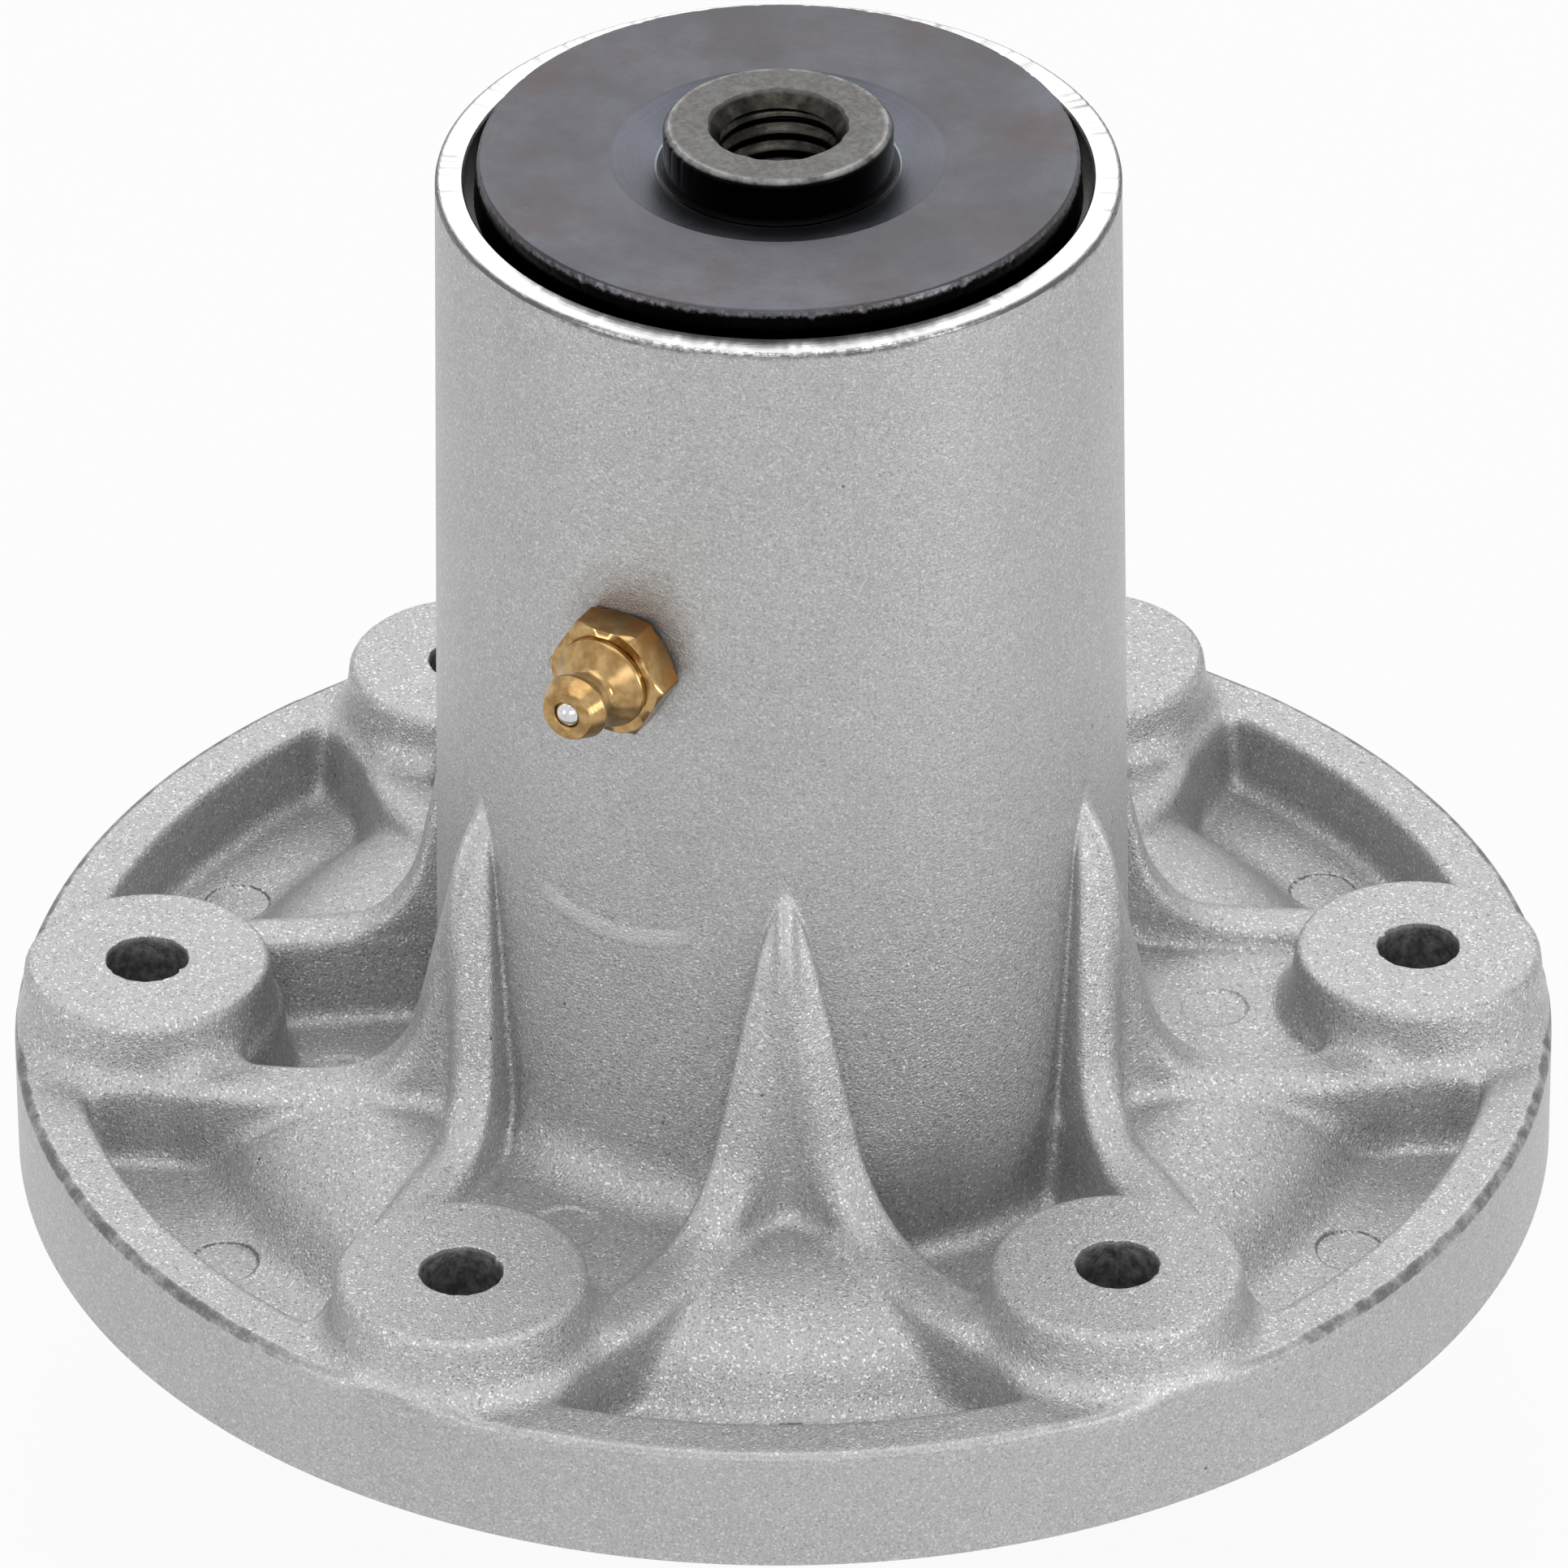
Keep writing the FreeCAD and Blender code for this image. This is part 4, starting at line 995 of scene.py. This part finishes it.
def hub_finish():
    """Black hub: worn grey top, glossy black side, brown-black mouth of the hole."""
    f = Finish("black hub")
    at = f.place()
    x, y, z = f.axes(at)
    radius = (x * x + y * y) ** 0.5 * 1000.0
    height = z * 1000.0
    fine = f.noise(at, 0.6, 4.0, 0.7)
    wear = f.noise(at, 3.5, 4.0, 0.65)
    top = height.step(HUB_TOP_Z - 0.45, HUB_TOP_Z - 0.1)
    outer = radius.step(HUB_R - 1.1, HUB_R - 0.4)
    base = f.blend(fine.step(0.3, 0.75), (0.30, 0.29, 0.28), (0.39, 0.385, 0.38))
    base = f.blend(wear.step(0.5, 0.75) * 0.5, base, (0.42, 0.44, 0.44))
    side = (1.0 - top) * radius.step(BLADE_THREAD_MAJOR_R + 0.6, BLADE_THREAD_MAJOR_R + 1.2)
    base = f.blend(side, base, (0.03, 0.03, 0.033))
    mouth = (1.0 - radius.step(BLADE_THREAD_MAJOR_R + 0.3, BLADE_THREAD_MAJOR_R + 0.6)) * (1.0 - top)
    inside = f.blend(wear.step(0.4, 0.65), (0.06, 0.055, 0.05), (0.26, 0.245, 0.22))
    base = f.blend(mouth * 0.85, base, inside)
    base = f.blend(outer * top * wear.step(0.35, 0.6) * 0.6, base, 0.66)
    rough = 0.24 + top * 0.2
    bump = f.relief(fine, 0.05, 0.6)
    return f.shade({"Base Color": base, "Metallic": 1.0, "Roughness": rough, "Normal": bump})


def plain_finish(name, shade, rough, grain_mm=0.3, metallic=0.9, depth=0.02):
    """Metal or plastic with a fine grain, a little cloudy."""
    f = Finish(name)
    at = f.place()
    fine = f.noise(at, grain_mm, 3.0, 0.6)
    cloud = f.noise(at, 7.0, 3.0)
    darker = tuple(c * 0.82 for c in shade)
    base = f.blend(cloud.step(0.3, 0.7) * 0.6 + fine.step(0.3, 0.7) * 0.4, darker, shade)
    return f.shade({"Base Color": base, "Metallic": metallic, "Roughness": rough + (cloud - 0.5) * 0.12,
                    "Normal": f.relief(fine, depth, 0.6)})


def brass_finish():
    """Turned brass with fine tool rings, browner at its hexagon."""
    f = Finish("turned brass")
    at = f.place()
    x, y, z = f.axes(at)
    out = y * -1000.0
    side = x * 1000.0 - NIPPLE_SIDE
    up = z * 1000.0 - NIPPLE_Z
    radius = (side * side + up * up) ** 0.5
    rings = f.tool_rings(out * 5.0 + radius * 4.0, 1.0, 3.0)
    cloud = f.noise(at, 1.6, 3.0)
    base = f.blend(cloud.step(0.3, 0.7), (0.58, 0.45, 0.28), (0.73, 0.61, 0.42))
    low = 1.0 - out.step(-NIPPLE_BACK_Y + 0.2, -NIPPLE_BACK_Y + 4.2)
    base = f.blend(low * 0.85, base, (0.42, 0.32, 0.18))
    edge = radius.step(5.55, 5.9) * low
    base = f.blend(edge * 0.45, base, (0.62, 0.38, 0.15))
    bump = f.relief(rings, 0.02, 0.5)
    rough = 0.22 + (cloud - 0.5) * 0.12
    return f.shade({"Base Color": base, "Metallic": 1.0, "Roughness": rough, "Normal": bump})


# Camera, floor and lights


def way_out(turn, lift):
    """Direction away from the part, turned from -Y towards +X and raised by lift."""
    return Vector((math.sin(turn) * math.cos(lift), -math.cos(turn) * math.cos(lift), math.sin(lift)))


def photo_camera():
    """Camera at the photograph's place, with a slight roll."""
    back = way_out(PHOTO_TURN, PHOTO_LIFT)
    right = Vector((math.cos(PHOTO_TURN), math.sin(PHOTO_TURN), 0.0))
    up = back.cross(right)
    place = right * AIM_SIDE + Vector((0.0, 0.0, AIM_Z)) + back * PHOTO_DISTANCE
    across = right * math.cos(PHOTO_ROLL) + up * math.sin(PHOTO_ROLL)
    upward = up * math.cos(PHOTO_ROLL) - right * math.sin(PHOTO_ROLL)
    data = bpy.data.cameras.new("photo_camera")
    data.lens = LENS
    data.sensor_width = 36.0
    data.sensor_fit = "HORIZONTAL"
    data.clip_start = 0.05
    data.clip_end = 20.0
    camera = bpy.data.objects.new("photo_camera", data)
    matrix = Matrix((across, upward, back)).transposed().to_4x4()
    matrix.translation = place * MM
    camera.matrix_world = matrix
    bpy.context.scene.collection.objects.link(camera)
    bpy.context.scene.camera = camera


def softbox(name, azimuth, elevation, distance, width, height, power):
    """Area lamp aimed at the part, at an azimuth measured from the camera's side, to the right."""
    way = way_out(PHOTO_TURN + math.radians(azimuth), math.radians(elevation))
    data = bpy.data.lights.new(name, "AREA")
    data.shape = "RECTANGLE"
    data.size = width
    data.size_y = height
    data.energy = power
    lamp = bpy.data.objects.new(name, data)
    lamp.location = Vector((0.0, 0.0, 0.05)) + way * distance
    lamp.rotation_mode = "QUATERNION"
    lamp.rotation_quaternion = (-way).to_track_quat("-Z", "Y")
    bpy.context.scene.collection.objects.link(lamp)


def seen_directly(f):
    """1 for camera, glossy and transmission rays, 0 for light that bounces off matt surfaces."""
    path = f.node("ShaderNodeLightPath", {}, {})
    return path["Is Camera Ray"].most(path["Is Glossy Ray"]).most(path["Is Transmission Ray"])


def studio():
    """White floor that keeps a faint shadow, pale world, and softboxes all round and above."""
    f = Finish("studio floor")
    matt = f.node("ShaderNodeBsdfDiffuse", {}, {"Color": colour(0.93)})
    white = f.node("ShaderNodeEmission", {}, {"Color": colour(1.0), "Strength": 1.0})
    surface = f.node("ShaderNodeMixShader", {}, {0: seen_directly(f) * 0.94, 1: matt, 2: white})
    f.node("ShaderNodeOutputMaterial", {}, {"Surface": surface})
    side = np.linspace(-2500.0, 2500.0, 3)
    x, y = np.meshgrid(side, side)
    points = np.stack([x, y, np.full_like(x, SHAFT_END_Z - 0.3)], axis=2)
    mesh = bpy.data.meshes.new("studio_floor")
    mesh.from_pydata((points.reshape(-1, 3) * MM).tolist(), [], grid_quads(3, 3, False).tolist())
    mesh.materials.append(f.material)
    floor = bpy.data.objects.new("studio_floor", mesh)
    bpy.context.scene.collection.objects.link(floor)

    world = bpy.data.worlds.new("studio")
    bpy.context.scene.world = world
    world.use_nodes = True
    w = Finish("studio", world.node_tree)
    soft = w.node("ShaderNodeBackground", {}, {"Color": colour(1.0), "Strength": 0.30})
    white = w.node("ShaderNodeBackground", {}, {"Color": colour(1.0), "Strength": 1.0})
    surface = w.node("ShaderNodeMixShader", {}, {0: seen_directly(w), 1: soft, 2: white})
    w.node("ShaderNodeOutputWorld", {}, {"Surface": surface})

    softbox("left_softbox", -56.0, 6.0, 0.9, 0.2, 0.3, 1.15)
    softbox("right_softbox", 52.0, 6.0, 0.9, 0.22, 0.3, 1.75)
    softbox("top_softbox", 0.0, 80.0, 0.9, 0.8, 0.7, 2.5)
    softbox("back_softbox", 180.0, 42.0, 0.9, 0.8, 0.4, 1.9)
    softbox("front_fill", 0.0, 14.0, 1.6, 1.0, 0.6, 3.3)


photo_camera()
studio()

casting = cast_finish()
turned_aluminium = machined_finish()
oxide = oxide_finish()
hub_black = hub_finish()
brass = brass_finish()
bright = plain_finish("bright ball", (0.93, 0.93, 0.94), 0.08, 0.5, 1.0, 0.002)

cast_skin(casting)
bolt_holes(hole_finish(), casting)
mounting_face(turned_aluminium)
machined_rim(turned_aluminium)
housing_bore(turned_aluminium)
shield_disc(oxide)
blade_hub(hub_black)
blade_bolt_thread(hub_black)
shaft_end(plain_finish("shaft steel", (0.30, 0.30, 0.32), 0.34, 0.3, 0.85))
nipple_hexagon(brass)
nipple_head(brass)
check_ball(bright)
bearing_balls("blade_end", BLADE_BALLS_Z, bright)
bearing_balls("pulley_end", PULLEY_BALLS_Z, bright)

# Finishes of the CAD nodes that are seen as they are, by the first of these words that is in a node's name
carried_over = {
    "spring": plain_finish("spring steel", (0.62, 0.62, 0.63), 0.25, 0.2, 1.0),
    "spacer": plain_finish("drawn steel", (0.55, 0.55, 0.56), 0.35, 0.4, 0.9),
    "insert": plain_finish("lock nylon", (0.20, 0.32, 0.60), 0.45, 0.3, 0.0),
    "ring": plain_finish("bearing steel", (0.80, 0.80, 0.82), 0.16, 0.4, 1.0, 0.004),
    "cage": plain_finish("brown nylon", (0.42, 0.30, 0.20), 0.45, 0.3, 0.0),
    "seal": plain_finish("seal rubber", (0.09, 0.09, 0.09), 0.55, 0.25, 0.0, 0.03),
    "washer": plain_finish("zinc washer", (0.78, 0.79, 0.80), 0.30, 0.25, 0.95),
    "nut": plain_finish("zinc nut", (0.76, 0.77, 0.79), 0.28, 0.25, 0.95),
}
for name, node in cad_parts.items():
    word = next((word for word in carried_over if word in name), None)
    if word:
        node.data.materials.clear()
        node.data.materials.append(carried_over[word])

bpy.context.scene.view_settings.view_transform = "Standard"
